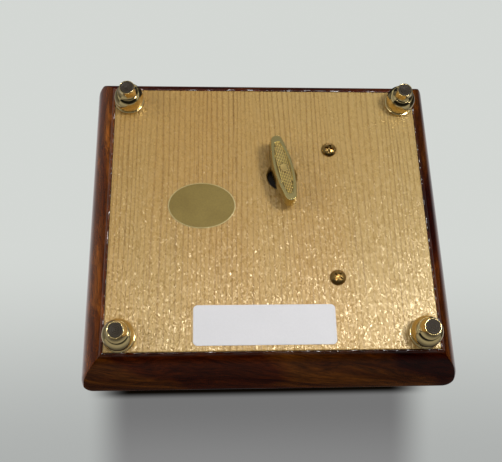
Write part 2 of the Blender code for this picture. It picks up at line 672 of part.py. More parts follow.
def crown_wheel():
    """A disc whose rim carries teeth on its lower side, over the cylinder's pinion."""
    step = math.tau / CROWN_TEETH
    half = step / 4 - BACKLASH / (2 * CROWN_MEAN)
    slope = TOOTH_SLOPE * CROWN_MODULE / CROWN_MEAN
    rings = [[], [], [], []]
    for i in range(CROWN_TEETH):
        middle = math.pi / 2 + (i + 0.5) * step
        for offset, height in ((-half - TOOTH_ROOT * slope, CROWN_ROOT), (-half + TOOTH_TIP * slope, CROWN_TIP),
                               (half - TOOTH_TIP * slope, CROWN_TIP), (half + TOOTH_ROOT * slope, CROWN_ROOT)):
            across = math.cos(middle + offset)
            along = math.sin(middle + offset)
            for ring, (radius, z) in zip(rings, ((CROWN_INNER, height), (CROWN_OUTER, height),
                                                 (CROWN_OUTER, CROWN_TOP), (CROWN_INNER, CROWN_TOP))):
                ring.append((radius * across, radius * along, z))
    crown = make_object("crown_wheel", loft_mesh("crown_wheel", rings, close_loop=True),
                        (0.72, 0.56, 0.22), 0.3, 1.0, smooth=False)
    crown.location = (KEY_X, KEY_Y, 0.0)
    overlap = (CROWN_INNER + CROWN_OUTER) / 2
    web = make_cutter("crown_web", lathe_mesh("crown_web", [
        (ARBOR_RADIUS + FINE_GAP, CROWN_ROOT + FINE_GAP), (overlap, CROWN_ROOT + FINE_GAP),
        (overlap, CROWN_TOP - FINE_GAP), (ARBOR_RADIUS + FINE_GAP, CROWN_TOP - FINE_GAP)], ROUND_STEPS, KEY_X, KEY_Y))
    join(crown, web)
    return crown


# The movement's fixed pieces

def build_movement_frame():
    bed_outline = rounded_outline(BEDPLATE_WIDTH / 2, BEDPLATE_DEPTH / 2, 0.003, 3, BEDPLATE_X, 0.0)
    bed = make_object("movement_bedplate", prism_mesh("movement_bedplate", bed_outline, BED_BOTTOM, BED_TOP),
                      (0.62, 0.60, 0.56), 0.35, 1.0)
    cut(bed, make_cutter("bed_arbor_cutter", rod_mesh(
        "bed_arbor_cutter", ARBOR_RADIUS + RUNNING_GAP, UNDERSIDE, DRUM_TOP, (KEY_X, KEY_Y), "Z", 16)))
    for place, center in SCREW_PLACES.items():
        name = f"boss_{place}"
        join(bed, make_cutter(name, rod_mesh(name, BOSS_RADIUS, BED_BOTTOM + FINE_GAP, BED_TOP + BOSS_HEIGHT, center)))
        hole = f"boss_hole_{place}_cutter"
        depth = UNDERSIDE + SCREW_LENGTH + FINE_GAP
        cut(bed, make_cutter(hole, rod_mesh(hole, SCREW_SHANK_RADIUS + FINE_GAP, UNDERSIDE, depth, center)))

    wall = DRUM_RADIUS - DRUM_WALL
    bore = ARBOR_RADIUS + RUNNING_GAP + FINE_GAP
    drum = [(bore, DRUM_BOTTOM), (DRUM_RADIUS, DRUM_BOTTOM), (DRUM_RADIUS, DRUM_TOP), (bore, DRUM_TOP),
            (bore, DRUM_TOP - DRUM_WALL), (wall, DRUM_TOP - DRUM_WALL),
            (wall, DRUM_BOTTOM + DRUM_WALL), (bore, DRUM_BOTTOM + DRUM_WALL)]
    make_object("spring_drum", lathe_mesh("spring_drum", drum, 32, KEY_X, KEY_Y), (0.74, 0.60, 0.30), 0.25, 1.0)
    build_mainspring(wall)

    for name, start, end in (("rear_bearing", REAR_BEARING_START, REAR_BEARING_END),
                             ("front_bearing", FRONT_BEARING_START, FRONT_BEARING_END)):
        half = BRACKET_WIDTH / 2
        foot = BED_TOP + FINE_GAP
        outline = [(CYLINDER_X - half, foot), (CYLINDER_X + half, foot),
                   (CYLINDER_X + half, CYLINDER_Z + half * 0.6), (CYLINDER_X + half * 0.6, CYLINDER_Z + half)]
        if name == "rear_bearing":
            outline += [(CYLINDER_X - half * 0.6, CYLINDER_Z + half), (CYLINDER_X - half, CYLINDER_Z + half * 0.6)]
        else:
            ear = GOVERNOR_ARBOR_RADIUS + 0.0010
            outline += [(GOVERNOR_X + ear, GOVERNOR_Z + ear), (GOVERNOR_X - ear, GOVERNOR_Z + ear),
                        (GOVERNOR_X - ear, GOVERNOR_Z - ear), (CYLINDER_X - half, CYLINDER_Z - half * 0.4)]
        bearing = make_object(name, prism_mesh(name, outline, start, end, "Y"), (0.62, 0.60, 0.56), 0.35, 1.0)
        cut(bearing, make_cutter(name + "_bore_cutter", rod_mesh(
            name + "_bore_cutter", CYLINDER_ARBOR_RADIUS + RUNNING_GAP, start - SEAT_GAP, end + SEAT_GAP,
            (CYLINDER_X, CYLINDER_Z), "Y")))
        if name == "front_bearing":
            cut(bearing, make_cutter("front_bearing_ear_cutter", rod_mesh(
                "front_bearing_ear_cutter", GOVERNOR_ARBOR_RADIUS + RUNNING_GAP, start - SEAT_GAP, end + SEAT_GAP,
                (GOVERNOR_X, GOVERNOR_Z), "Y")))
    build_governor_frame()
    build_comb()


def build_mainspring(drum_wall):
    """A spiral strip between the arbor and the drum's wall; its outer end rests on the wall."""
    outer = drum_wall - FINE_GAP
    steps_per_turn = 16
    count = round(SPRING_TURNS * steps_per_turn)
    rings = []
    low = DRUM_BOTTOM + DRUM_WALL + SWEEP_GAP
    high = DRUM_TOP - DRUM_WALL - SWEEP_GAP
    for i in range(count + 1):
        angle = math.tau * i / steps_per_turn
        radius = outer - SPRING_PITCH * angle / math.tau
        c, s = math.cos(angle), math.sin(angle)
        rings.append([(radius * c, radius * s, low), (radius * c, radius * s, high),
                      ((radius - SPRING_STRIP) * c, (radius - SPRING_STRIP) * s, high),
                      ((radius - SPRING_STRIP) * c, (radius - SPRING_STRIP) * s, low)])
    print("mainspring: least gap between turns, mm:", round((SPRING_PITCH - SPRING_STRIP) * 1000, 3))
    spring = make_object("mainspring", loft_mesh("mainspring", rings), (0.45, 0.46, 0.50), 0.3, 1.0)
    spring.location = (KEY_X, KEY_Y, 0.0)


def build_governor_frame():
    """Upright bracket with a lower and an upper arm that hold the worm, and a guide for the stop rod."""
    near = WORM_X - 0.0017
    far = WORM_X + 0.0017
    ear = GOVERNOR_ARBOR_RADIUS + 0.0008
    foot = BED_TOP + FINE_GAP
    shoulder = GOVERNOR_Z - ear
    outline = [(near, foot), (GOVERNOR_X - ear, foot), (GOVERNOR_X - ear, shoulder), (GOVERNOR_X + ear, shoulder),
               (GOVERNOR_X + ear, GOVERNOR_Z + ear), (far, GOVERNOR_ARM_TOP), (near, GOVERNOR_ARM_TOP)]
    frame = make_object("governor_frame", prism_mesh(
        "governor_frame", outline, GOVERNOR_FRAME_START, GOVERNOR_FRAME_END, "Y"), (0.62, 0.60, 0.56), 0.35, 1.0)
    inside = GOVERNOR_FRAME_END - BRACKET_THICKNESS / 2
    rod_end = STOP_ROD_Y + STOP_ROD_RADIUS + 0.0010
    join(frame, make_cutter("governor_upper_arm", box_mesh(
        "governor_upper_arm", (near + FINE_GAP, inside, GOVERNOR_ARM_BOTTOM),
        (far - FINE_GAP, rod_end, GOVERNOR_ARM_TOP - FINE_GAP))))
    join(frame, make_cutter("governor_lower_arm", box_mesh(
        "governor_lower_arm", (near + FINE_GAP, inside, foot + FINE_GAP),
        (far - FINE_GAP, WORM_Y + 0.0015, foot + BRACKET_THICKNESS))))
    pivot = WORM_SHAFT_RADIUS + RUNNING_GAP
    cut(frame, make_cutter("worm_pivot_cutter", rod_mesh(
        "worm_pivot_cutter", pivot, foot + BRACKET_THICKNESS / 2, BOX_TOP, (WORM_X, WORM_Y))))
    cut(frame, make_cutter("rod_guide_cutter", rod_mesh(
        "rod_guide_cutter", STOP_ROD_RADIUS + RUNNING_GAP, FAN_TOP, BOX_TOP, (WORM_X, STOP_ROD_Y))))
    cut(frame, make_cutter("governor_bore_cutter", rod_mesh(
        "governor_bore_cutter", GOVERNOR_ARBOR_RADIUS + RUNNING_GAP, GOVERNOR_FRAME_START - SEAT_GAP,
        GOVERNOR_FRAME_END + SEAT_GAP, (GOVERNOR_X, GOVERNOR_Z), "Y")))


def comb_outline():
    """Teeth towards the cylinder, longest at the front, in the plane of the comb."""
    points = [(COMB_HEEL_X + COMB_HEEL_WIDTH, COMB_START), (COMB_HEEL_X + COMB_HEEL_WIDTH, COMB_START + COMB_WIDTH)]
    for i in reversed(range(NOTE_COUNT)):
        share = i / (NOTE_COUNT - 1)
        root = COMB_TIP_X + COMB_SHORTEST_TOOTH + (COMB_LONGEST_TOOTH - COMB_SHORTEST_TOOTH) * share
        high = COMB_START + (i + 1) * NOTE_PITCH - COMB_SLOT / 2
        low = COMB_START + i * NOTE_PITCH + COMB_SLOT / 2
        if i < NOTE_COUNT - 1:
            points.append((root, high))
        else:
            high = COMB_START + COMB_WIDTH
        points += [(COMB_TIP_X, high), (COMB_TIP_X, low)]
        if i > 0:
            points.append((root, low))
    points[-1] = (COMB_TIP_X, COMB_START)
    return points


def build_comb():
    heel = (COMB_HEEL_X + FINE_GAP, COMB_START + FINE_GAP, COMB_BOTTOM + FINE_GAP)
    heel_end = (COMB_HEEL_X + COMB_HEEL_WIDTH - FINE_GAP, COMB_START + COMB_WIDTH - FINE_GAP, COMB_HEEL_TOP)
    comb = make_object("comb", prism_mesh("comb", comb_outline(), COMB_BOTTOM, COMB_TOP), (0.55, 0.56, 0.58), 0.25, 1.0,
                       smooth=False)
    join(comb, make_cutter("comb_heel", box_mesh("comb_heel", heel, heel_end)))
    base_low = (COMB_HEEL_X + SWEEP_GAP, COMB_START, BED_TOP + FINE_GAP)
    base_high = (COMB_HEEL_X + COMB_HEEL_WIDTH, COMB_START + COMB_WIDTH, COMB_BOTTOM - FINE_GAP)
    base = make_object("comb_base", box_mesh("comb_base", base_low, base_high), (0.62, 0.60, 0.56), 0.35, 1.0)
    head_bottom = COMB_HEEL_TOP + FINE_GAP
    shank_end = COMB_BOTTOM - COMB_HEEL_WIDTH * 0.6
    for place, share in (("rear", 0.22), ("front", 0.78)):
        y = COMB_START + COMB_WIDTH * share
        name = "comb_screw_" + place
        profile = [(0.0, shank_end), (COMB_SCREW_RADIUS, shank_end), (COMB_SCREW_RADIUS, head_bottom),
                   (COMB_SCREW_HEAD_RADIUS, head_bottom), (COMB_SCREW_HEAD_RADIUS, head_bottom + 0.0007),
                   (COMB_SCREW_HEAD_RADIUS * 0.6, head_bottom + 0.0010), (0.0, head_bottom + 0.0010)]
        make_object(name, lathe_mesh(name, profile, SMALL_STEPS, COMB_SCREW_X, y), (0.6, 0.6, 0.6), 0.3, 1.0)
        hole = name + "_hole_cutter"
        cutter = make_cutter(hole, rod_mesh(hole, COMB_SCREW_RADIUS + FINE_GAP, shank_end - FINE_GAP,
                                            COMB_HEEL_TOP + SEAT_GAP, (COMB_SCREW_X, y)))
        cut(comb, cutter)
        cut(base, cutter)


# The movement's turning pieces

def build_cylinder():
    """Pinned cylinder, its arbor, the pinion that the crown wheel drives and the gear that drives the governor."""
    bore = CYLINDER_ARBOR_RADIUS + FINE_GAP
    arbor = make_object("cylinder_arbor", rod_mesh(
        "cylinder_arbor", CYLINDER_ARBOR_RADIUS, PINION_START - FINE_GAP, FRONT_BEARING_END + FINE_GAP,
        (CYLINDER_X, CYLINDER_Z), "Y"), (0.6, 0.6, 0.62), 0.25, 1.0)

    barrel = make_object("pinned_cylinder", rod_mesh(
        "pinned_cylinder", CYLINDER_RADIUS, CYLINDER_START, CYLINDER_END, (CYLINDER_X, CYLINDER_Z), "Y", 36),
        (0.78, 0.62, 0.28), 0.25, 1.0)
    join(barrel, make_cutter("cylinder_pins", pins_mesh()))
    pinion = make_object("cylinder_pinion", prism_mesh(
        "cylinder_pinion", gear_outline(PINION_TEETH, PINION_RADIUS, math.pi / 2), PINION_START, PINION_END, "Y"),
        (0.72, 0.56, 0.22), 0.3, 1.0, smooth=False)
    gear = make_object("cylinder_gear", prism_mesh(
        "cylinder_gear", gear_outline(GEAR_TEETH, GEAR_RADIUS, math.pi - GOVERNOR_ANGLE), GEAR_START, GEAR_END, "Y"),
        (0.72, 0.56, 0.22), 0.3, 1.0, smooth=False)
    for piece in (pinion, gear):
        piece.location = (CYLINDER_X, 0.0, CYLINDER_Z)
    for piece in (barrel, pinion, gear):
        name = piece.name + "_bore_cutter"
        cut(piece, make_cutter(name, rod_mesh(
            name, bore, PINION_START - SEAT_GAP, FRONT_BEARING_END, (CYLINDER_X, CYLINDER_Z), "Y")))
    axis = empty("cylinder_axis", (CYLINDER_X, CYLINDER_START, CYLINDER_Z))
    hang_on(axis, [arbor, barrel, pinion, gear])


def pins_mesh():
    """Square pins on the cylinder, one track for each tooth of the comb, in an even pattern that is no tune."""
    bm = bmesh.new()
    for note in range(NOTE_COUNT):
        y = COMB_START + (note + 0.5) * NOTE_PITCH
        for beat in range(PINS_PER_NOTE):
            angle = math.tau * (beat / PINS_PER_NOTE + note * 0.618)
            turn = Matrix.Rotation(angle, 4, "Y")
            place = Matrix.Translation((CYLINDER_X, y, CYLINDER_Z))
            out = Matrix.Translation((CYLINDER_RADIUS + PIN_HEIGHT / 2 - SWEEP_GAP / 2, 0.0, 0.0))
            size = Matrix.Diagonal((PIN_HEIGHT + SWEEP_GAP, PIN_WIDTH, PIN_WIDTH, 1.0))
            bmesh.ops.create_cube(bm, size=1.0, matrix=place @ turn @ out @ size)
    return to_mesh("cylinder_pins", bm)


def build_governor():
    """The wheel that the cylinder's gear drives, and the worm with the fan that brakes it."""
    wheel_twist = -WORM_WHEEL_THICKNESS * WORM_LEAD / (math.tau * WORM_RADIUS) / WORM_WHEEL_RADIUS
    wheel = make_object("governor_wheel", rod_mesh(
        "governor_wheel", GOVERNOR_ARBOR_RADIUS, GOVERNOR_FRAME_START, FRONT_BEARING_END, (0.0, 0.0), "Y"),
        (0.85, 0.84, 0.78), 0.45, smooth=False)
    gap_phase = -GOVERNOR_ANGLE + math.pi / GOVERNOR_PINION_TEETH
    pinion = make_cutter("governor_pinion", prism_mesh(
        "governor_pinion", gear_outline(GOVERNOR_PINION_TEETH, GOVERNOR_PINION_RADIUS, gap_phase),
        GEAR_START, WHEEL_START + FINE_GAP, "Y"))
    worm_wheel = make_cutter("worm_wheel", prism_mesh(
        "worm_wheel", gear_outline(WORM_WHEEL_TEETH, WORM_WHEEL_RADIUS, math.pi - wheel_twist / 2),
        WHEEL_START, WHEEL_END, "Y", wheel_twist))
    for piece in (wheel, pinion, worm_wheel):
        piece.location = (GOVERNOR_X, 0.0, GOVERNOR_Z)
    join(wheel, pinion)
    join(wheel, worm_wheel)
    hang_on(empty("governor_wheel_axis", (GOVERNOR_X, WORM_Y, GOVERNOR_Z)), [wheel])

    worm = make_object("worm", loft_mesh("worm", worm_rings()), (0.6, 0.6, 0.62), 0.3, 1.0)
    worm.location = (WORM_X, WORM_Y, 0.0)
    half_blade = FAN_BLADE / 2
    fan = make_object("air_fan", rod_mesh(
        "air_fan", WORM_SHAFT_RADIUS + 0.0007, FAN_BOTTOM, FAN_TOP, (WORM_X, WORM_Y)), (0.82, 0.8, 0.74), 0.45)
    join(fan, make_cutter("fan_blades", box_mesh(
        "fan_blades", (WORM_X - FAN_RADIUS, WORM_Y - half_blade, FAN_BOTTOM + FINE_GAP),
        (WORM_X + FAN_RADIUS, WORM_Y + half_blade, FAN_TOP - FINE_GAP))))
    cut(fan, make_cutter("fan_bore_cutter", rod_mesh(
        "fan_bore_cutter", WORM_SHAFT_RADIUS + FINE_GAP, FAN_BOTTOM - SEAT_GAP, FAN_TOP + SEAT_GAP,
        (WORM_X, WORM_Y))))
    hang_on(empty("worm_axis", (WORM_X, WORM_Y, GOVERNOR_Z)), [worm, fan])


def worm_rings():
    """Rings of the worm's shaft with its threads; a valley faces the wheel at the wheel's height."""
    steps = 16
    low = BED_TOP + FINE_GAP + BRACKET_THICKNESS / 2 + FINE_GAP
    high = GOVERNOR_ARM_TOP
    start = GOVERNOR_Z - WORM_LENGTH / 2
    rows = 18
    rings = [[(x, y, z) for x, y in circle(WORM_SHAFT_RADIUS, steps)] for z in (low, start)]
    for row in range(rows + 1):
        z = start + FINE_GAP + (WORM_LENGTH - 2 * FINE_GAP) * row / rows
        ring = []
        for i in range(steps):
            angle = math.tau * i / steps
            wave = 0.5 - 0.5 * math.cos(WORM_STARTS * (angle - math.tau * (z - GOVERNOR_Z) / WORM_LEAD))
            radius = WORM_CORE_RADIUS + (WORM_RADIUS - WORM_CORE_RADIUS) * wave
            ring.append((radius * math.cos(angle), radius * math.sin(angle), z))
        rings.append(ring)
    rings += [[(x, y, z) for x, y in circle(WORM_SHAFT_RADIUS, steps)] for z in (start + WORM_LENGTH, high)]
    return rings


def build_stop_rod():
    """A rod that the closed lid holds down beside the fan, with a finger that stops the fan's blades."""
    rod = make_object("stop_rod", rod_mesh(
        "stop_rod", STOP_ROD_RADIUS, FAN_BOTTOM, LINING_BOTTOM - SEAM_GAP, (WORM_X, STOP_ROD_Y)),
        (0.6, 0.6, 0.62), 0.3, 1.0)
    finger_z = FAN_TOP - FAN_HEIGHT * 0.3
    join(rod, make_cutter("stop_finger", rod_mesh(
        "stop_finger", STOP_ROD_RADIUS * 0.8, WORM_Y + FAN_RADIUS + SWEEP_GAP, STOP_ROD_Y,
        (WORM_X, finger_z), "Y", 8)))
    hang_on(empty("stop_rod_guide", (WORM_X, STOP_ROD_Y, GOVERNOR_ARM_TOP)), [rod])


# The inside of the case

def build_inside():
    pine = (0.55, 0.36, 0.18)
    half_y = INNER_HALF_DEPTH - SEAT_GAP
    half_t = DIVIDER_THICKNESS / 2
    floor = PLATE_TOP + SEAT_GAP
    for name, x in (("divider_right", RIGHT_DIVIDER_X), ("divider_left", LEFT_DIVIDER_X)):
        make_object(name, box_mesh(name, (x - half_t, -half_y, floor), (x + half_t, half_y, DIVIDER_TOP)), pine, 0.4)
    cover = make_object("movement_cover", box_mesh(
        "movement_cover", (RIGHT_DIVIDER_X - half_t, -half_y, COVER_BOTTOM),
        (LEFT_DIVIDER_X + half_t, half_y, COVER_TOP)), (0.92, 0.95, 0.96), 0.05, alpha=0.3)
    cut(cover, make_cutter("cover_rod_cutter", rod_mesh(
        "cover_rod_cutter", STOP_ROD_RADIUS + SWEEP_GAP, COVER_BOTTOM - SEAT_GAP, COVER_TOP + SEAT_GAP,
        (WORM_X, STOP_ROD_Y))))
    tray("tray_right", -INNER_HALF_WIDTH + SEAT_GAP, RIGHT_DIVIDER_X - half_t - SEAT_GAP, half_y, floor)
    tray("tray_left", LEFT_DIVIDER_X + half_t + SEAT_GAP, INNER_HALF_WIDTH - SEAT_GAP, half_y, floor)


def tray(name, low_x, high_x, half_y, floor):
    """An open lined box that fills a compartment."""
    lining = make_object(name, box_mesh(name, (low_x, -half_y, floor), (high_x, half_y, COVER_TOP)), (0.30, 0.02, 0.04), 0.9)
    cut(lining, make_cutter(name + "_cutter", box_mesh(
        name + "_cutter", (low_x + TRAY_WALL, -half_y + TRAY_WALL, floor + TRAY_WALL),
        (high_x - TRAY_WALL, half_y - TRAY_WALL, BOX_TOP))))


# The lid

def board_rings():
    """Rings of the lid board from its lower face up over its rounded edge."""
    top = CASE_HEIGHT + LID_HEIGHT
    bottom = top - LID_BOARD_THICKNESS
    knee = top - LID_EDGE_RADIUS
    levels = [(outset(bottom), bottom), (outset(knee), knee)]
    for i in range(1, 6):
        angle = math.radians(90 * i / 5)
        levels.append((outset(knee) - LID_EDGE_RADIUS * (1 - math.cos(angle)), knee + LID_EDGE_RADIUS * math.sin(angle)))
    rings = []
    for out, height in levels:
        radius = max(CORNER_RADIUS + out - outset(knee), CORNER_RADIUS * 0.3)
        outline = rounded_outline(HALF_WIDTH + out, HALF_DEPTH + out, radius, 5)
        rings.append([(x, y, UNDERSIDE + height) for x, y in outline])
    return rings


def build_lid(hinge_y):
    walnut = (0.115, 0.038, 0.014)
    walls = {}
    for side in ("rear", "front", "right", "left"):
        walls[side] = mitred_wall("lid_wall_" + side, lid_profile(), side, walnut)
    board = make_object("lid_board", loft_mesh("lid_board", board_rings()), walnut, 0.1)
    outer_x = HALF_WIDTH + FLARE_REACH - BORDER_INSET
    outer_y = HALF_DEPTH + FLARE_REACH - BORDER_INSET
    groove = INLAY_DEPTH
    grow = FINE_GAP
    cut(board, make_cutter("border_cutter", frame_ring(
        "border_cutter", outer_x + grow, outer_y + grow, BORDER_WIDTH + 2 * grow, BOX_TOP - groove, BOX_TOP + groove)))
    make_object("lid_border_inlay", frame_ring(
        "lid_border_inlay", outer_x, outer_y, BORDER_WIDTH, BOX_TOP - groove + grow, BOX_TOP),
        (0.75, 0.56, 0.30), 0.12)
    oval = [(MEDALLION_LENGTH / 2 * math.cos(math.tau * i / 40), MEDALLION_WIDTH / 2 * math.sin(math.tau * i / 40))
            for i in range(40)]
    wider = [(x * (1 + 2 * grow / MEDALLION_LENGTH), y * (1 + 2 * grow / MEDALLION_WIDTH)) for x, y in oval]
    cut(board, make_cutter("medallion_cutter", prism_mesh(
        "medallion_cutter", wider, BOX_TOP - groove, BOX_TOP + groove)))
    medallion = make_object("lid_medallion", prism_mesh(
        "lid_medallion", oval, BOX_TOP - groove + grow, BOX_TOP), (0.70, 0.50, 0.26), 0.12)
    lining_x = INNER_HALF_WIDTH - SEAT_GAP
    lining_y = INNER_HALF_DEPTH - SEAT_GAP
    lining = make_object("lid_lining", box_mesh(
        "lid_lining", (-lining_x, -lining_y, LINING_BOTTOM), (lining_x, lining_y, BOARD_BOTTOM - FINE_GAP)),
        (0.30, 0.02, 0.04), 0.9)
    axis = empty("lid_hinge_axis", (0.0, hinge_y, SEAM + SEAM_GAP / 2))
    inlay = bpy.data.objects["lid_border_inlay"]
    hang_on(axis, [*walls.values(), board, inlay, medallion, lining])
    return walls, axis


def frame_ring(name, half_x, half_y, width, bottom, top):
    """A flat rectangular frame."""
    corners = ((-1, -1), (1, -1), (1, 1), (-1, 1))
    rings = []
    for inset, z in ((0.0, bottom), (0.0, top), (width, top), (width, bottom)):
        rings.append([(sx * (half_x - inset), sy * (half_y - inset), z) for sx, sy in corners])
    return loft_mesh(name, rings, close_loop=True)


def build_hinges(case_rear, lid_rear, hinge_y, lid_axis):
    """Two butt hinges let into the rear walls, their barrels on the walls' outer edge."""
    middle = SEAM + SEAM_GAP / 2
    fifth = HINGE_LENGTH / 3
    brass = (0.62, 0.42, 0.14)
    for place, x in (("right", -HINGE_X), ("left", HINGE_X)):
        start = x - HINGE_LENGTH / 2
        end = x + HINGE_LENGTH / 2
        clear = HINGE_BARREL_RADIUS + SEAM_GAP
        groove = make_cutter(f"hinge_{place}_barrel_cutter", rod_mesh(
            f"hinge_{place}_barrel_cutter", clear, start - SEAT_GAP, end + SEAT_GAP, (hinge_y, middle), "X", 16))
        recess = make_cutter(f"hinge_{place}_leaf_cutter", box_mesh(
            f"hinge_{place}_leaf_cutter",
            (start - SEAT_GAP, hinge_y - HINGE_LEAF_WIDTH, middle - HINGE_LEAF_THICKNESS - SEAM_GAP),
            (end + SEAT_GAP, hinge_y + HINGE_LEAF_WIDTH + SEAT_GAP, middle + HINGE_LEAF_THICKNESS + SEAM_GAP)))
        for wall in (case_rear, lid_rear):
            cut(wall, groove)
            cut(wall, recess)
        half_gap = FINE_GAP / 2
        bore = make_cutter(f"hinge_{place}_bore_cutter", rod_mesh(
            f"hinge_{place}_bore_cutter", HINGE_PIN_RADIUS + RUNNING_GAP * 0.6, start - SEAT_GAP, end + SEAT_GAP,
            (hinge_y, middle), "X", 16))
        case_leaf = leaf(f"hinge_{place}_case_leaf", start, end, hinge_y, middle - half_gap, -1, brass,
                         [(start, start + fifth - half_gap), (end - fifth + half_gap, end)])
        lid_leaf = leaf(f"hinge_{place}_lid_leaf", start, end, hinge_y, middle + half_gap, 1, brass,
                        [(start + fifth + half_gap, end - fifth - half_gap)])
        for piece in (case_leaf, lid_leaf):
            cut(piece, bore)
        name = f"hinge_{place}_pin"
        make_object(name, rod_mesh(name, HINGE_PIN_RADIUS, start, end, (hinge_y, middle), "X", 16), brass, 0.3, 1.0)
        hang_on(lid_axis, [lid_leaf])


def leaf(name, start, end, hinge_y, face, side, color, knuckles):
    """A hinge leaf below or above the seam, with its share of the barrel."""
    middle = SEAM + SEAM_GAP / 2
    outer = face + side * HINGE_LEAF_THICKNESS
    low, high = min(face, outer), max(face, outer)
    clear = HINGE_BARREL_RADIUS + FINE_GAP
    plate = make_object(name, box_mesh(
        name, (start, hinge_y + clear, low), (end, hinge_y + HINGE_LEAF_WIDTH, high)), color, 0.3, 1.0)
    for i, (first, last) in enumerate(knuckles):
        tongue = f"{name}_tongue_{i}"
        join(plate, make_cutter(tongue, box_mesh(
            tongue, (first, hinge_y, low + FINE_GAP / 4), (last, hinge_y + clear + SEAT_GAP, high - FINE_GAP / 4))))
        knuckle = f"{name}_knuckle_{i}"
        join(plate, make_cutter(knuckle, rod_mesh(
            knuckle, HINGE_BARREL_RADIUS, first, last, (hinge_y, middle), "X", 16)))
    return plate


def main():
    clear_scene()
    hinge_y = -HALF_DEPTH - outset(CASE_HEIGHT)
    walls = build_case()
    build_feet()
    build_underside_fittings()
    build_winding()
    build_movement_frame()
    build_cylinder()
    build_governor()
    build_stop_rod()
    build_inside()
    lid_walls, lid_axis = build_lid(hinge_y)
    build_hinges(walls["rear"], lid_walls["rear"], hinge_y, lid_axis)


main()
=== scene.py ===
"""The looks of the musical box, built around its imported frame. Metres, in the frame's own coordinates."""
import math

import bmesh
import bpy
from mathutils import Matrix, Vector


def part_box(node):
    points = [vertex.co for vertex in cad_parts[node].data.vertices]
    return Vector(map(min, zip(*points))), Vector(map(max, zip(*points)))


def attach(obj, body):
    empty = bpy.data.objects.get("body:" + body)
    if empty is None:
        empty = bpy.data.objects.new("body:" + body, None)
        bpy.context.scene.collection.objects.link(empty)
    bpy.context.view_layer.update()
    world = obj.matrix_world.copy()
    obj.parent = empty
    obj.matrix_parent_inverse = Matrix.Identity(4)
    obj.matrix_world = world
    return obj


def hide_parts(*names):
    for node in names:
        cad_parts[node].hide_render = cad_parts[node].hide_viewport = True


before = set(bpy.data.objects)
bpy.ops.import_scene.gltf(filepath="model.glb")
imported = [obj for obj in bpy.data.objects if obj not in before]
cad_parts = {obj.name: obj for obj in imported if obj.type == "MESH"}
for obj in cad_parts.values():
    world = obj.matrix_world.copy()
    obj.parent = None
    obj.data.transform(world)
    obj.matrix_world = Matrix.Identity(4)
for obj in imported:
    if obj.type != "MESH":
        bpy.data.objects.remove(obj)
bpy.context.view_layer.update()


def corners(node):
    """The low and the high corner of a solid's box."""
    return [Vector(corner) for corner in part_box(node)]


def middle(node):
    low, high = corners(node)
    return (low + high) / 2


# Measures of the box
PLATE_LOW, PLATE_HIGH = corners("base_plate")
UNDERSIDE = PLATE_LOW.z
PLATE_TOP = PLATE_HIGH.z
HALF_WIDTH = PLATE_HIGH.x
HALF_DEPTH = PLATE_HIGH.y
BOARD_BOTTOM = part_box("lid_board")[0][2]
BOX_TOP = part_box("lid_board")[1][2]
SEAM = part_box("case_wall_front")[1][2]
SEAM_GAP = 0.0003
RIM_WIDTH = 0.0006
FLARE_REACH = 0.0086
FLARE_RISE = 0.0176
SIDE_LEAN = math.radians(9.5)
LEDGE_WIDTH = 0.0025
LEDGE_HEIGHT = 0.0042
MITRE_RADIUS = 0.00025
MITRE_END = 0.0045
CORNER_RADIUS = 0.0026
LID_EDGE_RADIUS = 0.0036
BORDER_WIDTH = 0.0016
KEY_HOLE_RADIUS = 0.0049
STUD_RADIUS = 0.0014
PIN_RADIUS = 0.0005
HAIRLINE = 0.0001

# Measures of the key; the bar and its field have a length, a width in the middle and a width at the ends
KEY_DEPTH = 0.0043
KEY_TURN = math.radians(-11.3)
KEY_BAR = (0.0240, 0.0065, 0.0040)
KEY_FIELD = (0.0192, 0.0046, 0.0021)
BOSS = (0.00120, 0.00155)
DOT_RADIUS = 0.00022
DOT_PITCH = 0.00054

# The photograph's width and focal length in its pixels, the sensor in millimetres, and the camera's place
PICTURE_WIDTH = 502
FOCAL_LENGTH = 688.06
SENSOR_WIDTH = 36.0
CAMERA_PLACE = (-0.01937, 0.0868, -0.19927)

PALE = (0.655, 0.680, 0.655)


def angles(*degrees):
    return tuple(math.radians(angle) for angle in degrees)


# Node trees

class Nodes:
    """A node tree with short names for the nodes that this script uses."""

    def __init__(self, tree, coordinates):
        self.tree = tree
        self.place = self.node("ShaderNodeTexCoord").outputs[coordinates]

    def plug(self, socket, value):
        if isinstance(value, bpy.types.NodeSocket):
            self.tree.links.new(value, socket)
        elif isinstance(value, tuple) and len(value) == 3 and socket.type == "RGBA":
            socket.default_value = (*value, 1.0)
        else:
            socket.default_value = value

    def node(self, kind, inputs=(), **settings):
        made = self.tree.nodes.new(kind)
        for key, value in settings.items():
            setattr(made, key, value)
        for key, value in dict(inputs).items():
            self.plug(made.inputs[key], value)
        return made

    def math(self, operation, *values):
        return self.node("ShaderNodeMath", dict(enumerate(values)), operation=operation).outputs[0]

    def vector(self, operation, *values):
        return self.node("ShaderNodeVectorMath", dict(enumerate(values)), operation=operation).outputs[0]

    def ease(self, value, start, end):
        """0 to 1 between two values, with soft ends."""
        inputs = {"Value": value, "From Min": start, "From Max": end}
        return self.node("ShaderNodeMapRange", inputs, interpolation_type="SMOOTHSTEP").outputs["Result"]

    def mix(self, share, first, second, blend="MIX"):
        """Two colours mixed; 6 and 7 are the node's colour inputs, and 2 is its colour output."""
        inputs = {"Factor": share, 6: first, 7: second}
        return self.node("ShaderNodeMix", inputs, data_type="RGBA", blend_type=blend).outputs[2]


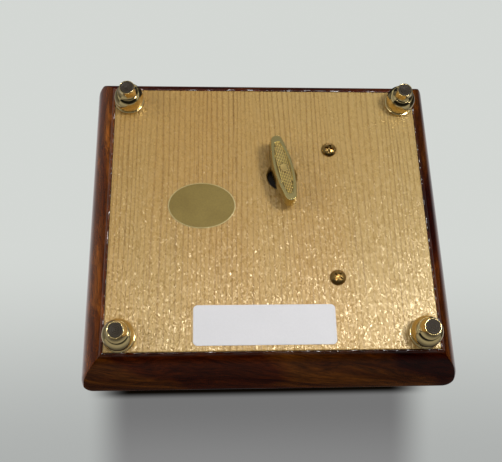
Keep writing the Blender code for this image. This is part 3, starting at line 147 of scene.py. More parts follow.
class Shade(Nodes):
    """A Principled material, its textures placed by the object's own coordinates."""

    def __init__(self, name, roughness=0.5, metallic=0.0, **settings):
        self.material = bpy.data.materials.new(name)
        self.material.use_nodes = True
        super().__init__(self.material.node_tree, "Object")
        self.shader = self.tree.nodes["Principled BSDF"]
        self.set(Roughness=roughness, Metallic=metallic, **settings)

    def set(self, **values):
        """Set or link the shader's sockets; an underscore in a name stands for a space."""
        for key, value in values.items():
            self.plug(self.shader.inputs[key.replace("_", " ")], value)

    def surface(self, shader):
        self.plug(self.tree.nodes["Material Output"].inputs["Surface"], shader)

    def scaled(self, scale, turn=(0.0, 0.0, 0.0), place=None):
        inputs = {"Vector": place or self.place, "Scale": scale, "Rotation": turn}
        return self.node("ShaderNodeMapping", inputs).outputs["Vector"]

    def turned(self, turn):
        return self.scaled((1.0, 1.0, 1.0), turn)

    def noise(self, scale, detail=3.0, rough=0.5, warp=0.0, place=None):
        """Noise; scale is one number, or one for each axis."""
        scales = scale if isinstance(scale, tuple) else (scale, scale, scale)
        inputs = {"Vector": self.scaled(scales, place=place), "Scale": 1.0, "Detail": detail,
                  "Roughness": rough, "Distortion": warp}
        return self.node("ShaderNodeTexNoise", inputs).outputs["Fac"]

    def ramp(self, value, *stops):
        """Colours or grey levels over a value."""
        made = self.node("ShaderNodeValToRGB", {"Fac": value})
        elements = made.color_ramp.elements
        while len(elements) < len(stops):
            elements.new(0.5)
        for element, (position, color) in zip(elements, stops):
            element.position = position
            element.color = (*color, 1.0) if isinstance(color, tuple) else (color, color, color, 1.0)
        return made.outputs["Color"]

    def tint(self, color, share, value, *stops):
        """A colour multiplied by a ramp over a value."""
        return self.mix(share, color, self.ramp(value, *stops), "MULTIPLY")

    def axes(self, place=None):
        made = self.node("ShaderNodeSeparateXYZ", {"Vector": place or self.place})
        return made.outputs["X"], made.outputs["Y"], made.outputs["Z"]

    def distance(self, across, along):
        squares = (self.math("MULTIPLY", value, value) for value in (across, along))
        return self.math("SQRT", self.math("ADD", *squares))

    def bump(self, height, distance, strength=1.0, below=None):
        inputs = {"Height": height, "Distance": distance, "Strength": strength}
        if below is not None:
            inputs["Normal"] = below
        return self.node("ShaderNodeBump", inputs).outputs["Normal"]

    def lacquer_waves(self):
        """The faint waviness of gloss lacquer."""
        return self.bump(self.noise(260.0, 1.0), 0.00002, 0.5)


# Materials

def veneer(name, turn, painted_light_level=1.0, coat=1.0, feather=None):
    """Dark figured veneer under clear gloss lacquer. turn brings the grain's direction to X.
    feather gives wide slanting bands by turns olive and red, as where two leaves of veneer meet."""
    m = Shade(name, 0.45, Specular_IOR_Level=0.0, Coat_Roughness=0.03, Coat_IOR=1.45)
    along = m.turned(turn)
    sway = m.math("MULTIPLY", m.noise((22.0, 50.0, 50.0), 2.0, place=along), 0.016)
    place = m.vector("ADD", along, m.node("ShaderNodeCombineXYZ", {"Y": sway, "Z": sway}).outputs[0])
    flame = m.noise((16.0, 120.0, 120.0), 3.0, 0.6, 0.8, place=place)
    fibre = m.noise((150.0, 1300.0, 1300.0), 4.0, 0.7, place=place)
    pores = m.noise((260.0, 4200.0, 4200.0), 1.0, place=place)

    # the level passed in brightens or darkens the whole figure: painted light or shade, so that each side's
    # copy of the veneer is lit as that side
    def figure(*colors):
        painted_light_colors = [tuple(value * painted_light_level for value in color) for color in colors]
        return m.ramp(flame, *zip((0.34, 0.50, 0.66), painted_light_colors))

    red = figure((0.016, 0.0010, 0.0001), (0.042, 0.0050, 0.0003), (0.100, 0.0180, 0.0012))
    olive = figure((0.026, 0.0042, 0.0003), (0.058, 0.0135, 0.0009), (0.125, 0.0360, 0.0034))
    if feather:
        slant = m.axes(m.turned(feather))[0]
        wander = m.math("MULTIPLY", m.noise((26.0, 60.0, 60.0), 2.0), 2.7)
        band = m.math("SINE", m.math("MULTIPLY_ADD", slant, 118.0, wander))
        share = m.ramp(m.math("MULTIPLY_ADD", band, 0.5, 0.5), (0.40, 0.0), (0.62, 1.0))
        red = m.mix(share, m.mix(1.0, red, (0.62, 0.55, 0.50), "MULTIPLY"), red)
    else:
        share = m.ramp(m.noise((14.0, 34.0, 34.0), 1.0, place=along), (0.44, 0.0), (0.54, 1.0))
    color = m.mix(share, red, olive)
    color = m.tint(color, 0.9, fibre, (0.28, 0.34), (0.50, 1.0), (0.72, 1.95))
    color = m.tint(color, 0.7, pores, (0.32, 0.30), (0.42, 1.0))

    # the lip beside the base plate: full gloss, and ripples that break its bright line
    x, y, z = m.axes()
    height = m.math("DIVIDE", m.math("SUBTRACT", z, UNDERSIDE), 0.001)
    lip = m.ramp(height, (0.25, 1.0), (0.60, 0.0))
    drift = m.math("MULTIPLY", m.noise(60.0, 1.0), 7.0)
    ripple = m.math("SINE", m.math("MULTIPLY_ADD", m.math("ADD", x, y), 860.0, drift))
    wavy = m.math("MULTIPLY", m.math("MULTIPLY_ADD", ripple, 0.16, m.noise(170.0, 1.0)), lip)
    m.set(Base_Color=color, Normal=m.bump(fibre, 0.00003, 0.4))
    m.set(Coat_Weight=m.math("MAXIMUM", lip, coat), Coat_Normal=m.bump(wavy, 0.0020, 1.0, m.lacquer_waves()))
    return m.material


def plate_wood():
    """Pale straight-grained wood, its grain along Y, under a thin satin lacquer in which the fibres glint."""
    m = Shade("plate_wood", 0.24, IOR=1.55, Specular_IOR_Level=0.9, Specular_Tint=(1.0, 0.84, 0.56))
    sway = m.noise((60.0, 5.0, 10.0), 2.0)
    spacing = m.math("ADD", m.math("MULTIPLY", m.axes()[0], 620.0), m.math("MULTIPLY", sway, 6.0))
    rings = m.math("FRACT", spacing)
    depth = m.ramp(m.noise((200.0, 10.0, 30.0), 2.0), (0.35, 0.55), (0.60, 1.0))
    pores = m.noise((1500.0, 36.0, 60.0), 2.0)
    fibre = m.noise((2600.0, 60.0, 200.0), 3.0, 0.6)
    cloud = m.noise((30.0, 6.0, 26.0), 2.0)
    warm = m.ramp(cloud, (0.35, (0.450, 0.262, 0.074)), (0.65, (0.455, 0.300, 0.100)))
    lined = m.tint(warm, 1.0, rings, (0.0, (0.90, 0.88, 0.82)), (0.14, (0.62, 0.53, 0.42)),
                   (0.32, (0.97, 0.96, 0.95)), (0.55, (1.03, 1.03, 1.03)), (1.0, (0.96, 0.95, 0.93)))
    color = m.mix(depth, warm, lined)
    color = m.tint(color, 0.8, pores, (0.26, (0.66, 0.60, 0.52)), (0.38, (1.0, 1.0, 1.0)))
    color = m.tint(color, 0.8, fibre, (0.25, 0.92), (0.75, 1.06))

    # each small flake of fibre leans its own way, a few of them strongly
    cells = {"Vector": m.scaled((2900.0, 1500.0, 1800.0)), "Scale": 1.0}
    flakes = m.node("ShaderNodeTexVoronoi", cells).outputs["Color"]
    lean = m.vector("SUBTRACT", flakes, (0.5, 0.5, 0.5))
    cube = m.vector("MULTIPLY", m.vector("MULTIPLY", lean, lean), lean)
    strong = m.vector("MULTIPLY", cube, (2.5, 0.6, 0.0))
    slight = m.vector("MULTIPLY", lean, (0.05, 0.03, 0.0))
    flat = m.node("ShaderNodeNewGeometry").outputs["Normal"]
    tilted = m.vector("NORMALIZE", m.vector("ADD", flat, m.vector("ADD", strong, slight)))
    m.set(Base_Color=color, Normal=m.bump(fibre, 0.00003, 0.5, tilted))
    m.set(Roughness=m.ramp(m.noise((700.0, 400.0, 600.0), 2.0), (0.35, 0.24), (0.65, 0.34)))
    return m.material


def worn(m, color, dulling, wear, cloud, start):
    """A metal's colour, duller in the clouds from the level start on."""
    dull = tuple(value * share for value, share in zip(color, dulling))
    return m.mix(m.math("MULTIPLY", m.ramp(cloud, (start, 0.0), (0.75, 1.0)), wear), color, dull)


def brass(name, color, roughness, wear=0.25, turned=False):
    """Polished or satin brass with uneven tarnish; turned adds fine rings about the upright axis."""
    m = Shade(name, roughness, 1.0)
    cloud = m.noise(180.0, 4.0, 0.6)
    shade = worn(m, color, (0.72, 0.62, 0.50), wear, cloud, 0.35)
    shade = m.tint(shade, 0.175, m.noise(1900.0, 2.0), (0.28, 0.45), (0.45, 1.0))
    m.set(Base_Color=shade)
    m.set(Roughness=m.ramp(cloud, (0.3, roughness * 0.75), (0.75, min(1.0, roughness * 1.5))))
    normal = m.bump(m.noise(900.0, 2.0), 0.00001, 0.5)
    if turned:
        normal = m.bump(m.noise((2.0, 2.0, 5200.0), 1.0), 0.00001, 0.6, normal)
    m.set(Normal=normal)
    return m.material


def key_metal(name, color, roughness, wear=0.3):
    """Stamped brass with handling wear."""
    m = Shade(name, roughness, 1.0)
    cloud = m.noise(420.0, 4.0, 0.65)
    shade = worn(m, color, (0.62, 0.58, 0.50), wear, cloud, 0.40)
    shade = m.tint(shade, 0.3, m.noise(3400.0, 2.0, 0.6), (0.28, 0.5), (0.42, 1.0))
    m.set(Base_Color=shade, Roughness=m.ramp(cloud, (0.3, roughness * 0.8), (0.7, roughness * 1.4)))
    m.set(Normal=m.bump(m.noise(700.0, 2.0), 0.00001, 0.5))
    return m.material


def steel(name, color, roughness, across=(1, 1, 1)):
    """Brushed or ground metal; across is 0 for the axis that the brush marks run along."""
    m = Shade(name, roughness, 1.0)
    marks = m.noise(tuple(3200.0 if value else 60.0 for value in across), 3.0, 0.6)
    shade = m.tint(color, 0.5, marks, (0.3, 0.72), (0.7, 1.12))
    shade = m.tint(shade, 0.4, m.noise(150.0), (0.35, 0.80), (0.7, 1.05))
    m.set(Base_Color=shade, Roughness=m.ramp(marks, (0.3, roughness * 0.8), (0.7, roughness * 1.35)))
    m.set(Normal=m.bump(marks, 0.00001, 0.7))
    return m.material


def divider_wood():
    """Plain wood with a satin finish, its grain along Y."""
    m = Shade("divider_wood", 0.45, Specular_IOR_Level=0.4)
    along = m.turned(angles(0, 0, 90))
    rings = m.noise((9.0, 260.0, 260.0), 3.0, 0.6, 0.4, place=along)
    fibre = m.noise((50.0, 1800.0, 1800.0), 3.0, 0.6, place=along)
    color = m.ramp(rings, (0.3, (0.13, 0.055, 0.022)), (0.7, (0.24, 0.115, 0.048)))
    color = m.tint(color, 0.7, fibre, (0.25, 0.75), (0.6, 1.0), (0.85, 1.15))
    m.set(Base_Color=color, Normal=m.bump(fibre, 0.00004, 0.5))
    return m.material


def flock(name, color):
    """Short-pile flock lining."""
    m = Shade(name, 0.95, Specular_IOR_Level=0.15, Sheen_Weight=0.45, Sheen_Roughness=0.5)
    pile = m.noise(2600.0, 3.0, 0.7)
    shade = m.tint(color, 0.8, pile, (0.25, 0.45), (0.6, 1.0), (0.8, 1.35))
    shade = m.tint(shade, 0.6, m.noise(70.0, 3.0, 0.6), (0.3, 0.72), (0.7, 1.18))
    m.set(Base_Color=shade, Normal=m.bump(pile, 0.00022, 0.8))
    return m.material


def paper(name, color):
    m = Shade(name, 0.55, Specular_IOR_Level=0.35)
    fibre = m.noise(1400.0, 4.0, 0.65)
    shade = m.tint(color, 0.5, fibre, (0.3, 0.94), (0.7, 1.03))
    shade = m.tint(shade, 0.5, m.noise(90.0, 2.0), (0.3, 0.97), (0.7, 1.02))
    m.set(Base_Color=shade, Normal=m.bump(fibre, 0.00002, 0.6))
    return m.material


def plastic(name, color, roughness, shine=0.5):
    m = Shade(name, roughness, Specular_IOR_Level=shine)
    fine = m.noise(2500.0, 2.0)
    shade = m.tint(color, 0.5, m.noise(300.0), (0.3, 0.86), (0.7, 1.06))
    m.set(Base_Color=shade, Roughness=m.ramp(fine, (0.3, roughness * 0.8), (0.7, roughness * 1.3)))
    m.set(Normal=m.bump(fine, 0.00001, 0.6))
    return m.material


def clear_sheet():
    """Clear acrylic sheet with faint dust and handling haze."""
    m = Shade("clear_cover", 0.04, Specular_IOR_Level=0.8)
    haze = m.noise(120.0, 4.0, 0.6)
    m.set(Base_Color=m.ramp(haze, (0.3, (0.02, 0.025, 0.03)), (0.7, (0.08, 0.09, 0.10))))
    m.set(Alpha=m.ramp(haze, (0.35, 0.05), (0.75, 0.07)))
    m.set(Roughness=m.ramp(haze, (0.35, 0.02), (0.75, 0.05)))
    return m.material


def inlay(name, pattern):
    """Pale veneer let into the lid, with dark lines or sand-shaded petals, under the same gloss lacquer."""
    m = Shade(name, 0.35, Specular_IOR_Level=0.3, Coat_Weight=1.0, Coat_Roughness=0.03)
    x, y, _ = m.axes()
    fibre = m.noise((90.0, 1500.0, 1500.0), 4.0, 0.6)
    pale = m.ramp(fibre, (0.3, (0.46, 0.27, 0.10)), (0.7, (0.66, 0.44, 0.20)))
    m.set(Base_Color=pattern(m, x, y, pale), Coat_Normal=m.lacquer_waves())
    return m.material


def border_lines(m, x, y, pale):
    """Three lines round the border: dark, pale, dark."""
    half_x, half_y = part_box("lid_border_inlay")[1][:2]
    inside = m.math("MINIMUM", m.math("SUBTRACT", half_x, m.math("ABSOLUTE", x)),
                    m.math("SUBTRACT", half_y, m.math("ABSOLUTE", y)))
    share = m.math("DIVIDE", inside, BORDER_WIDTH)
    return m.tint(pale, 1.0, share, (0.16, 0.06), (0.20, 1.0), (0.42, 1.0), (0.46, 0.30), (0.54, 0.30),
                  (0.58, 1.0), (0.80, 1.0), (0.84, 0.06))


def petals(m, x, y, pale):
    """A common fan rosette: petals round the middle, each shaded along one side, in two plain rings."""
    half_x, half_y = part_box("lid_medallion")[1][:2]
    across = m.math("DIVIDE", x, half_x)
    along = m.math("DIVIDE", y, half_y)
    radius = m.distance(across, along)
    turn = m.math("DIVIDE", m.math("ARCTAN2", along, across), math.tau)
    share = m.math("FRACT", m.math("MULTIPLY", m.math("ADD", turn, 0.5), 16.0))
    petal = m.tint(pale, 1.0, share, (0.0, 0.16), (0.05, 0.42), (0.5, 0.9), (1.0, 1.08))
    point = m.math("MULTIPLY", m.math("ABSOLUTE", m.math("SUBTRACT", share, 0.5)), 0.10)
    color = m.tint(petal, 1.0, m.math("ADD", radius, point), (0.15, (0.30, 0.10, 0.03)),
                   (0.16, (1.0, 1.0, 1.0)), (0.83, (1.0, 1.0, 1.0)), (0.84, (0.14, 0.05, 0.02)))
    rim = m.ramp(radius, (0.915, 0.0), (0.92, 1.0), (0.965, 1.0), (0.97, 0.0))
    return m.mix(rim, color, pale)


def gold_foil():
    """Dull gold foil with a thin pale edge."""
    m = Shade("gold_sticker", 0.55, 0.30)
    low, high = corners("oval_sticker")
    centre, half = (low + high) / 2, (high - low) / 2
    x, y, _ = m.axes()
    across = m.math("DIVIDE", m.math("SUBTRACT", x, centre.x), half.x)
    along = m.math("DIVIDE", m.math("SUBTRACT", y, centre.y), half.y)
    fine = m.noise(1500.0)
    gold = m.ramp(m.noise(120.0), (0.3, (0.198, 0.134, 0.022)), (0.7, (0.242, 0.170, 0.034)))
    gold = m.tint(gold, 0.5, fine, (0.3, 0.80), (0.7, 1.10))
    rim = m.ramp(m.distance(across, along), (0.962, 0.0), (0.975, 1.0))
    m.set(Base_Color=m.mix(rim, gold, (0.50, 0.40, 0.18)), Normal=m.bump(fine, 0.00002, 0.7))
    return m.material


# Meshes and pieces

def to_mesh(name, bm, outward=True):
    if outward:
        bmesh.ops.recalc_face_normals(bm, faces=bm.faces)
    mesh = bpy.data.meshes.new(name)
    bm.to_mesh(mesh)
    bm.free()
    return mesh


def add_object(name, data):
    obj = bpy.data.objects.new(name, data)
    bpy.context.scene.collection.objects.link(obj)
    return obj


def oval(half_x, half_y, steps, x=0.0, y=0.0, turn=0.0):
    points = []
    for i in range(steps):
        angle = math.tau * i / steps + turn
        points.append((x + half_x * math.cos(angle), y + half_y * math.sin(angle)))
    return points


def rounded(half_x, half_y, radius, steps, x=0.0, y=0.0, sides=1):
    """A rectangle with round corners; sides is the number of parts of each straight side."""
    arcs = []
    for quarter, (sx, sy) in enumerate(((1, 1), (-1, 1), (-1, -1), (1, -1))):
        arc = []
        for i in range(steps + 1):
            angle = math.radians(90 * quarter + 90 * i / steps)
            arc.append((x + sx * (half_x - radius) + radius * math.cos(angle),
                        y + sy * (half_y - radius) + radius * math.sin(angle)))
        arcs.append(arc)
    points = []
    for arc, following in zip(arcs, arcs[1:] + arcs[:1]):
        points += arc
        start, end = arc[-1], following[0]
        points += [(start[0] + (end[0] - start[0]) * i / sides, start[1] + (end[1] - start[1]) * i / sides)
                   for i in range(1, sides)]
    return points


def level(points, z):
    return [(px, py, z) for px, py in points]


def loft(name, rings, closed=False):
    bm = bmesh.new()
    rows = [[bm.verts.new(point) for point in ring] for ring in rings]
    count = len(rows[0])
    pairs = list(zip(rows, rows[1:]))
    if closed:
        pairs.append((rows[-1], rows[0]))
    for lower, upper in pairs:
        for i in range(count):
            j = (i + 1) % count
            bm.faces.new((lower[i], lower[j], upper[j], upper[i]))
    if not closed:
        bm.faces.new(rows[0])
        bm.faces.new(rows[-1])
    return to_mesh(name, bm)


def lathe(name, profile, steps, x=0.0, y=0.0):
    """A turned solid about a vertical line at x, y; a radius of 0 is a point on it."""
    bm = bmesh.new()
    rows = []
    for radius, z in profile:
        ring = oval(radius, radius, steps, x, y) if radius else [(x, y)]
        rows.append([bm.verts.new(point) for point in level(ring, z)])
    for lower, upper in zip(rows, rows[1:]):
        for i in range(steps):
            j = (i + 1) % steps
            face = [row[k % len(row)] for row, k in ((lower, i), (lower, j), (upper, j), (upper, i))]
            bm.faces.new(list(dict.fromkeys(face)))
    return to_mesh(name, bm)


def piece(name, mesh, body, material, replaces, angle):
    """A piece of the scene; edges sharper than the angle, in degrees, stay crisp."""
    mesh.shade_smooth()
    mesh.set_sharp_from_angle(angle=math.radians(angle))
    obj = add_object(name, mesh)
    mesh.materials.append(material)
    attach(obj, body)
    if replaces:
        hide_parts(*replaces)


def paint(material, *names):
    """Give CAD nodes a finished material."""
    for name in names:
        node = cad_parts[name]
        if not node.material_slots:
            node.data.materials.append(material)
        for slot in node.material_slots:
            slot.material = material


# The case

def outset(height):
    """How far the outer face stands outside the base plate's edge at a height above the underside."""
    reach = FLARE_REACH - RIM_WIDTH
    radius = (reach ** 2 + FLARE_RISE ** 2) / (2 * reach)
    if height <= FLARE_RISE + radius * math.sin(SIDE_LEAN):
        return FLARE_REACH - radius + math.sqrt(radius ** 2 - (FLARE_RISE - height) ** 2)
    return FLARE_REACH - math.tan(SIDE_LEAN) * (height - FLARE_RISE - radius * math.tan(SIDE_LEAN / 2))


def corner_radius(out, height):
    """Crisp mitre at the base plate, round where the case is widest and above."""
    share = 1.0 if height > FLARE_RISE else min(1.0, max(0.0, (out - MITRE_END) / (FLARE_REACH - MITRE_END)))
    return MITRE_RADIUS + (CORNER_RADIUS - MITRE_RADIUS) * share * share * (3 - 2 * share)


def wall(name, outer, inner, side, material, body):
    """One wall between its two mitres; outer and inner are outset and height points of its cross-section."""
    lengthways = side in ("front", "rear")
    long_half, short_half = (HALF_WIDTH, HALF_DEPTH) if lengthways else (HALF_DEPTH, HALF_WIDTH)
    sign = 1 if side in ("front", "left") else -1
    outer_bow, inner_bow = 0.0004, 0.003
    steps = 8
    stations = [(-1, i) for i in range(steps, -1, -1)] + [(1, i) for i in range(steps + 1)]
    rings = []
    for direction, i in stations:
        angle = math.radians(45) * i / steps
        ring = []
        for out, height in outer:
            radius = corner_radius(out, height)
            along = long_half + out - radius * (1 - math.sin(angle)) - (1 - i / steps) * outer_bow
            ring.append((along, short_half + out - radius * (1 - math.cos(angle)), height))
        for out, height in inner:
            ring.append((long_half + out - (1 - i / steps) * inner_bow, short_half + out, height))
        placed = []
        for along, across, height in ring:
            first, second = direction * (along - HAIRLINE / 2), sign * across
            spot = (first, second) if lengthways else (second, first)
            placed.append((*spot, UNDERSIDE + height))
        rings.append(placed)
    piece(name, loft(name, rings), body, material, (name.replace("_skin", ""),), 30.0)


def curve_points(start, end, steps):
    heights = [start + (end - start) * i / steps for i in range(steps + 1)]
    return [(outset(height), height) for height in heights]


def build_case(materials):
    """The four walls of the case and of the lid, with a plain gap between them."""
    soft = 0.00012
    seam = SEAM - UNDERSIDE
    knee = FLARE_RISE + 0.0040
    outer = [(HAIRLINE, 0.0003), (HAIRLINE + 0.00003, 0.00004), (HAIRLINE + 0.00010, 0.0),
             (RIM_WIDTH - soft, 0.0), (RIM_WIDTH - soft * 0.4, soft * 0.25), (RIM_WIDTH + 0.00003, soft)]
    outer += curve_points(0.0006, knee, 30) + curve_points(knee, seam - 0.0004, 5)[1:]
    outer += [(outset(seam) - 0.00012, seam - 0.0001), (outset(seam) - 0.0004, seam)]
    inner = [(-LEDGE_WIDTH, seam), (-LEDGE_WIDTH, LEDGE_HEIGHT), (HAIRLINE, LEDGE_HEIGHT)]
    for side in ("front", "rear", "left", "right"):
        wall(f"case_wall_{side}_skin", outer, inner, side, materials[side], "case")
    low = seam + SEAM_GAP
    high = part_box("lid_wall_front")[1][2] - UNDERSIDE
    outer = [(outset(low) - 0.0004, low), (outset(low) - 0.00012, low + 0.0001)]
    outer += curve_points(low + 0.0004, high, 6)
    inner = [(-LEDGE_WIDTH, high), (-LEDGE_WIDTH, low)]
    for side in ("front", "rear", "left", "right"):
        wall(f"lid_wall_{side}_skin", outer, inner, side, materials[side], "lid")


def foot_profile():
    """Radius and height of a turned foot, from its end on the table up to its stud."""
    flange_top = UNDERSIDE - HAIRLINE
    flange_low = flange_top - 0.0009
    bulb_radius, bulb_height = 0.0049, 0.0054
    bulb_low = flange_low - bulb_height
    stud_radius, stud_top = 0.0011, flange_top + 0.0034
    points = [(0.0, 0.0011), (0.00226, 0.0011), (0.00226, 0.00026), (0.00232, 0.00010),
              (0.00242, 0.00006), (0.00252, 0.00009), (0.00257, 0.00020), (0.00258, 0.00036)]
    for i in range(1, 15):
        share = i / 14
        points.append((0.00258 + 0.00080 * share ** 2.4, 0.00036 + 0.00262 * share))
    points.append((0.00330, 0.00305))
    low, high = angles(-46, 24)
    for i in range(31):
        angle = low + (high - low) * i / 30
        rise = (math.sin(angle) - math.sin(low)) / (math.sin(high) - math.sin(low))
        points.append((bulb_radius * math.cos(angle), bulb_low + bulb_height * rise - 0.00004))
    points += [(0.00440, flange_low + 0.00001), (0.00482, flange_low + 0.00002),
               (0.00498, flange_low + 0.00014), (0.00505, flange_low + 0.00036),
               (0.00505, flange_top - 0.00022), (0.00499, flange_top - 0.00006), (0.00485, flange_top),
               (stud_radius, flange_top), (stud_radius, stud_top), (0.0, stud_top)]
    return points


def build_feet(metal, pad_material):
    """Four turned feet, each with a pad that has three raised rings."""
    for place in ("front_left", "front_right", "rear_left", "rear_right"):
        x, y, _ = middle("foot_" + place)
        foot = lathe("turned_foot", foot_profile(), 80, x, y)
        piece(f"turned_foot_{place}", foot, "case", metal, ("foot_" + place,), 50.0)
        rings = [(0.0, 0.00020), (0.00022, 0.00018), (0.00034, 0.00003)]
        for start in (0.00034, 0.00082, 0.00130):
            rings += [(start + 0.00016, 0.0), (start + 0.00024, 0.00016), (start + 0.00036, 0.00016),
                      (start + 0.00045, 0.00001)]
        rings += [(0.00210, 0.00001), (0.00218, 0.00012), (0.00220, 0.0010), (0.0, 0.0010)]
        pad = lathe("ringed_pad", rings, 64, x, y)
        piece(f"ringed_pad_{place}", pad, "case", pad_material, ("foot_pad_" + place,), 60.0)


# The underside

def build_plate(material):
    """The base plate with its key hole, bevelled at the rim."""
    x, y, _ = middle("winding_arbor")
    count = 144
    rays = [math.tau * i / count for i in range(count)]
    for sx, sy in ((1, 1), (-1, 1), (-1, -1), (1, -1)):
        corner = math.atan2(sy * HALF_DEPTH - y, sx * HALF_WIDTH - x) % math.tau
        nearest = min(range(count), key=lambda i: abs((rays[i] - corner + math.pi) % math.tau - math.pi))
        rays[nearest] = corner

    def circle(radius, z):
        return [(x + radius * math.cos(ray), y + radius * math.sin(ray), z) for ray in rays]

    def edge(inset, z):
        points = []
        for ray in rays:
            reach = min((math.copysign(HALF_WIDTH, math.cos(ray)) - x) / (math.cos(ray) or 1e-9),
                        (math.copysign(HALF_DEPTH, math.sin(ray)) - y) / (math.sin(ray) or 1e-9))
            px, py = x + reach * math.cos(ray), y + reach * math.sin(ray)
            points.append((max(-HALF_WIDTH + inset, min(HALF_WIDTH - inset, px)),
                           max(-HALF_DEPTH + inset, min(HALF_DEPTH - inset, py)), z))
        return points

    hole = [circle(KEY_HOLE_RADIUS, PLATE_TOP), circle(KEY_HOLE_RADIUS, UNDERSIDE + 0.00045),
            circle(KEY_HOLE_RADIUS + 0.00015, UNDERSIDE + 0.00018),
            circle(KEY_HOLE_RADIUS + 0.00042, UNDERSIDE), circle(0.0080, UNDERSIDE)]
    rim = [edge(0.0006, UNDERSIDE), edge(0.00015, UNDERSIDE), edge(0.00004, UNDERSIDE + 0.00004),
           edge(0.0, UNDERSIDE + 0.00015), edge(0.0, PLATE_TOP)]
    piece("ply_base", loft("ply_base", hole + rim, closed=True), "case", material,
          ("base_plate",), 28.0)


def key_half_width(shape, share):
    """Half the width at a share of the way from the middle to the start of a round end."""
    _, width, end_width = shape
    return end_width / 2 + (width - end_width) / 2 * (1 - share ** 2)


def key_outline(shape):
    """Outline of length, width in the middle and width at the round ends."""
    length, _, end_width = shape
    steps = 20
    round_radius = end_width / 2
    straight = length / 2 - round_radius
    points = []
    for sign in (1, -1):
        for i in range(2 * steps + 1):
            share = 1 - i / steps
            points.append((-sign * key_half_width(shape, share), sign * share * straight))
        for i in range(1, 12):
            angle = math.pi * i / 12
            points.append((-sign * round_radius * math.cos(angle),
                           -sign * (straight + round_radius * math.sin(angle))))
    return points


def grown(outline, step):
    """The outline moved outwards by a step, each point along its own normal."""
    turns = sum(a[0] * b[1] - b[0] * a[1] for a, b in zip(outline, outline[1:]))
    outwards = step if turns > 0 else -step
    moved = []
    for i, (px, py) in enumerate(outline):
        ax, ay = outline[i - 1]
        bx, by = outline[(i + 1) % len(outline)]
        tx, ty = bx - ax, by - ay
        size = math.hypot(tx, ty) or 1.0
        moved.append((px + ty / size * outwards, py - tx / size * outwards))
    return moved


def key_dots():
    """Places of the raised dots, in rows, inside the field and outside the boss."""
    straight = (KEY_FIELD[0] - KEY_FIELD[2]) / 2
    places = []
    for row in range(-17, 18):
        py = row * DOT_PITCH
        half = key_half_width(KEY_FIELD, min(1.0, abs(py) / straight)) - DOT_RADIUS
        if abs(py) > straight:
            half = math.sqrt(max(0.0, (KEY_FIELD[2] / 2) ** 2 - (abs(py) - straight) ** 2)) - DOT_RADIUS
        for column in range(-5, 6):
            px = column * DOT_PITCH
            if abs(px) <= half and (px / 0.00135) ** 2 + (py / 0.0017) ** 2 >= 1.0:
                places.append((px, py))
    return places


def build_key(border_material, field_material, dot_material, boss_material):
    """Stamped winding key: a flat border round a sunk field of raised dots, and an oval boss."""
    x, y, _ = middle("winding_arbor")
    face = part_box("winding_key")[0][2]
    top = face + KEY_DEPTH
    floor = face + 0.0004
    outline = key_outline(KEY_BAR)
    field = key_outline(KEY_FIELD)

    def placed(points, z):
        return [(x + px * math.cos(KEY_TURN) - py * math.sin(KEY_TURN),
                 y + px * math.sin(KEY_TURN) + py * math.cos(KEY_TURN), z) for px, py in points]

    def key_part(name, mesh, material, angle, replaces=()):
        piece(name, mesh, "winding", material, replaces, angle)

    rings = [placed(grown(outline, step), z) for step, z in
             ((0.00010, top), (0.00034, top - 0.00006), (0.00040, top - 0.0003), (0.0, face + 0.0006))]
    for i in range(1, 6):
        angle = math.radians(90 * i / 5)
        inwards = 0.00022 * (1 - math.cos(angle))
        rings.append(placed(grown(outline, -inwards), face + 0.0006 * (1 - math.sin(angle))))
    rings += [placed(grown(outline, step), face) for step in (-0.00026, -0.00034)]
    rings += [placed(grown(field, step), z) for step, z in
              ((0.00014, face), (0.00008, face), (0.00002, face + 0.00003), (-0.00010, floor - 0.00005),
               (-0.00016, floor))]
    key_part("stamped_key", loft("stamped_key", rings), border_material, 32.0, ("winding_key",))
    bed = [placed(grown(field, -0.00017), z) for z in (floor + 0.0001, floor - 0.00002)]
    key_part("key_field", loft("key_field", bed), field_material, 32.0)
    stem = [(0.0, top - 0.0001), (0.0030, top - 0.0001), (0.0028, top + 0.0002), (0.0028, UNDERSIDE - 0.0002),
            (0.0026, UNDERSIDE), (0.0, UNDERSIDE)]
    key_part("key_stem", lathe("key_stem", stem, 48, x, y), border_material, 40.0)

    bm = bmesh.new()
    sides = 8
    for px, py in key_dots():
        base = placed(oval(DOT_RADIUS, DOT_RADIUS, sides, px, py), floor)
        shoulder = placed(oval(0.00014, 0.00014, sides, px, py), floor - 0.00017)
        lows = [bm.verts.new(point) for point in base]
        mids = [bm.verts.new(point) for point in shoulder]
        tip = bm.verts.new(placed([(px, py)], floor - 0.00023)[0])
        for k in range(sides):
            j = (k + 1) % sides
            bm.faces.new((lows[k], lows[j], mids[j], mids[k]))
            bm.faces.new((mids[k], mids[j], tip))
        bm.faces.new(lows[::-1])
    key_part("key_dots", to_mesh("key_dots", bm), dot_material, 80.0)
    rings = [placed(oval(BOSS[0] * share, BOSS[1] * share, 48), floor - depth) for share, depth in
             ((1.0, 0.0), (0.99, 0.00018), (0.95, 0.00026), (0.86, 0.00030), (0.74, 0.00030), (0.66, 0.00026),
              (0.30, 0.00025), (0.05, 0.00025))]
    key_part("key_boss", loft("key_boss", rings), boss_material, 30.0)


def screw_depth(share, angle):
    """How deep a place on a domed screw head with a cross recess lies, as a share of the head's height."""
    px, py = abs(share * math.cos(angle)), abs(share * math.sin(angle))
    wide, reach = min(px, py), max(px, py)
    slot_side = min(1.0, max(0.0, (0.16 - 0.05 * reach - wide) / 0.04))
    slot_end = min(1.0, max(0.0, (0.60 - reach) / 0.06))
    recess = 0.62 * slot_side * slot_end * (1.15 - 0.5 * reach)
    dome = 1 - math.sqrt(max(0.0, 1 - (share * 0.93) ** 2))
    return min(1.0, 1.25 * dome + recess)


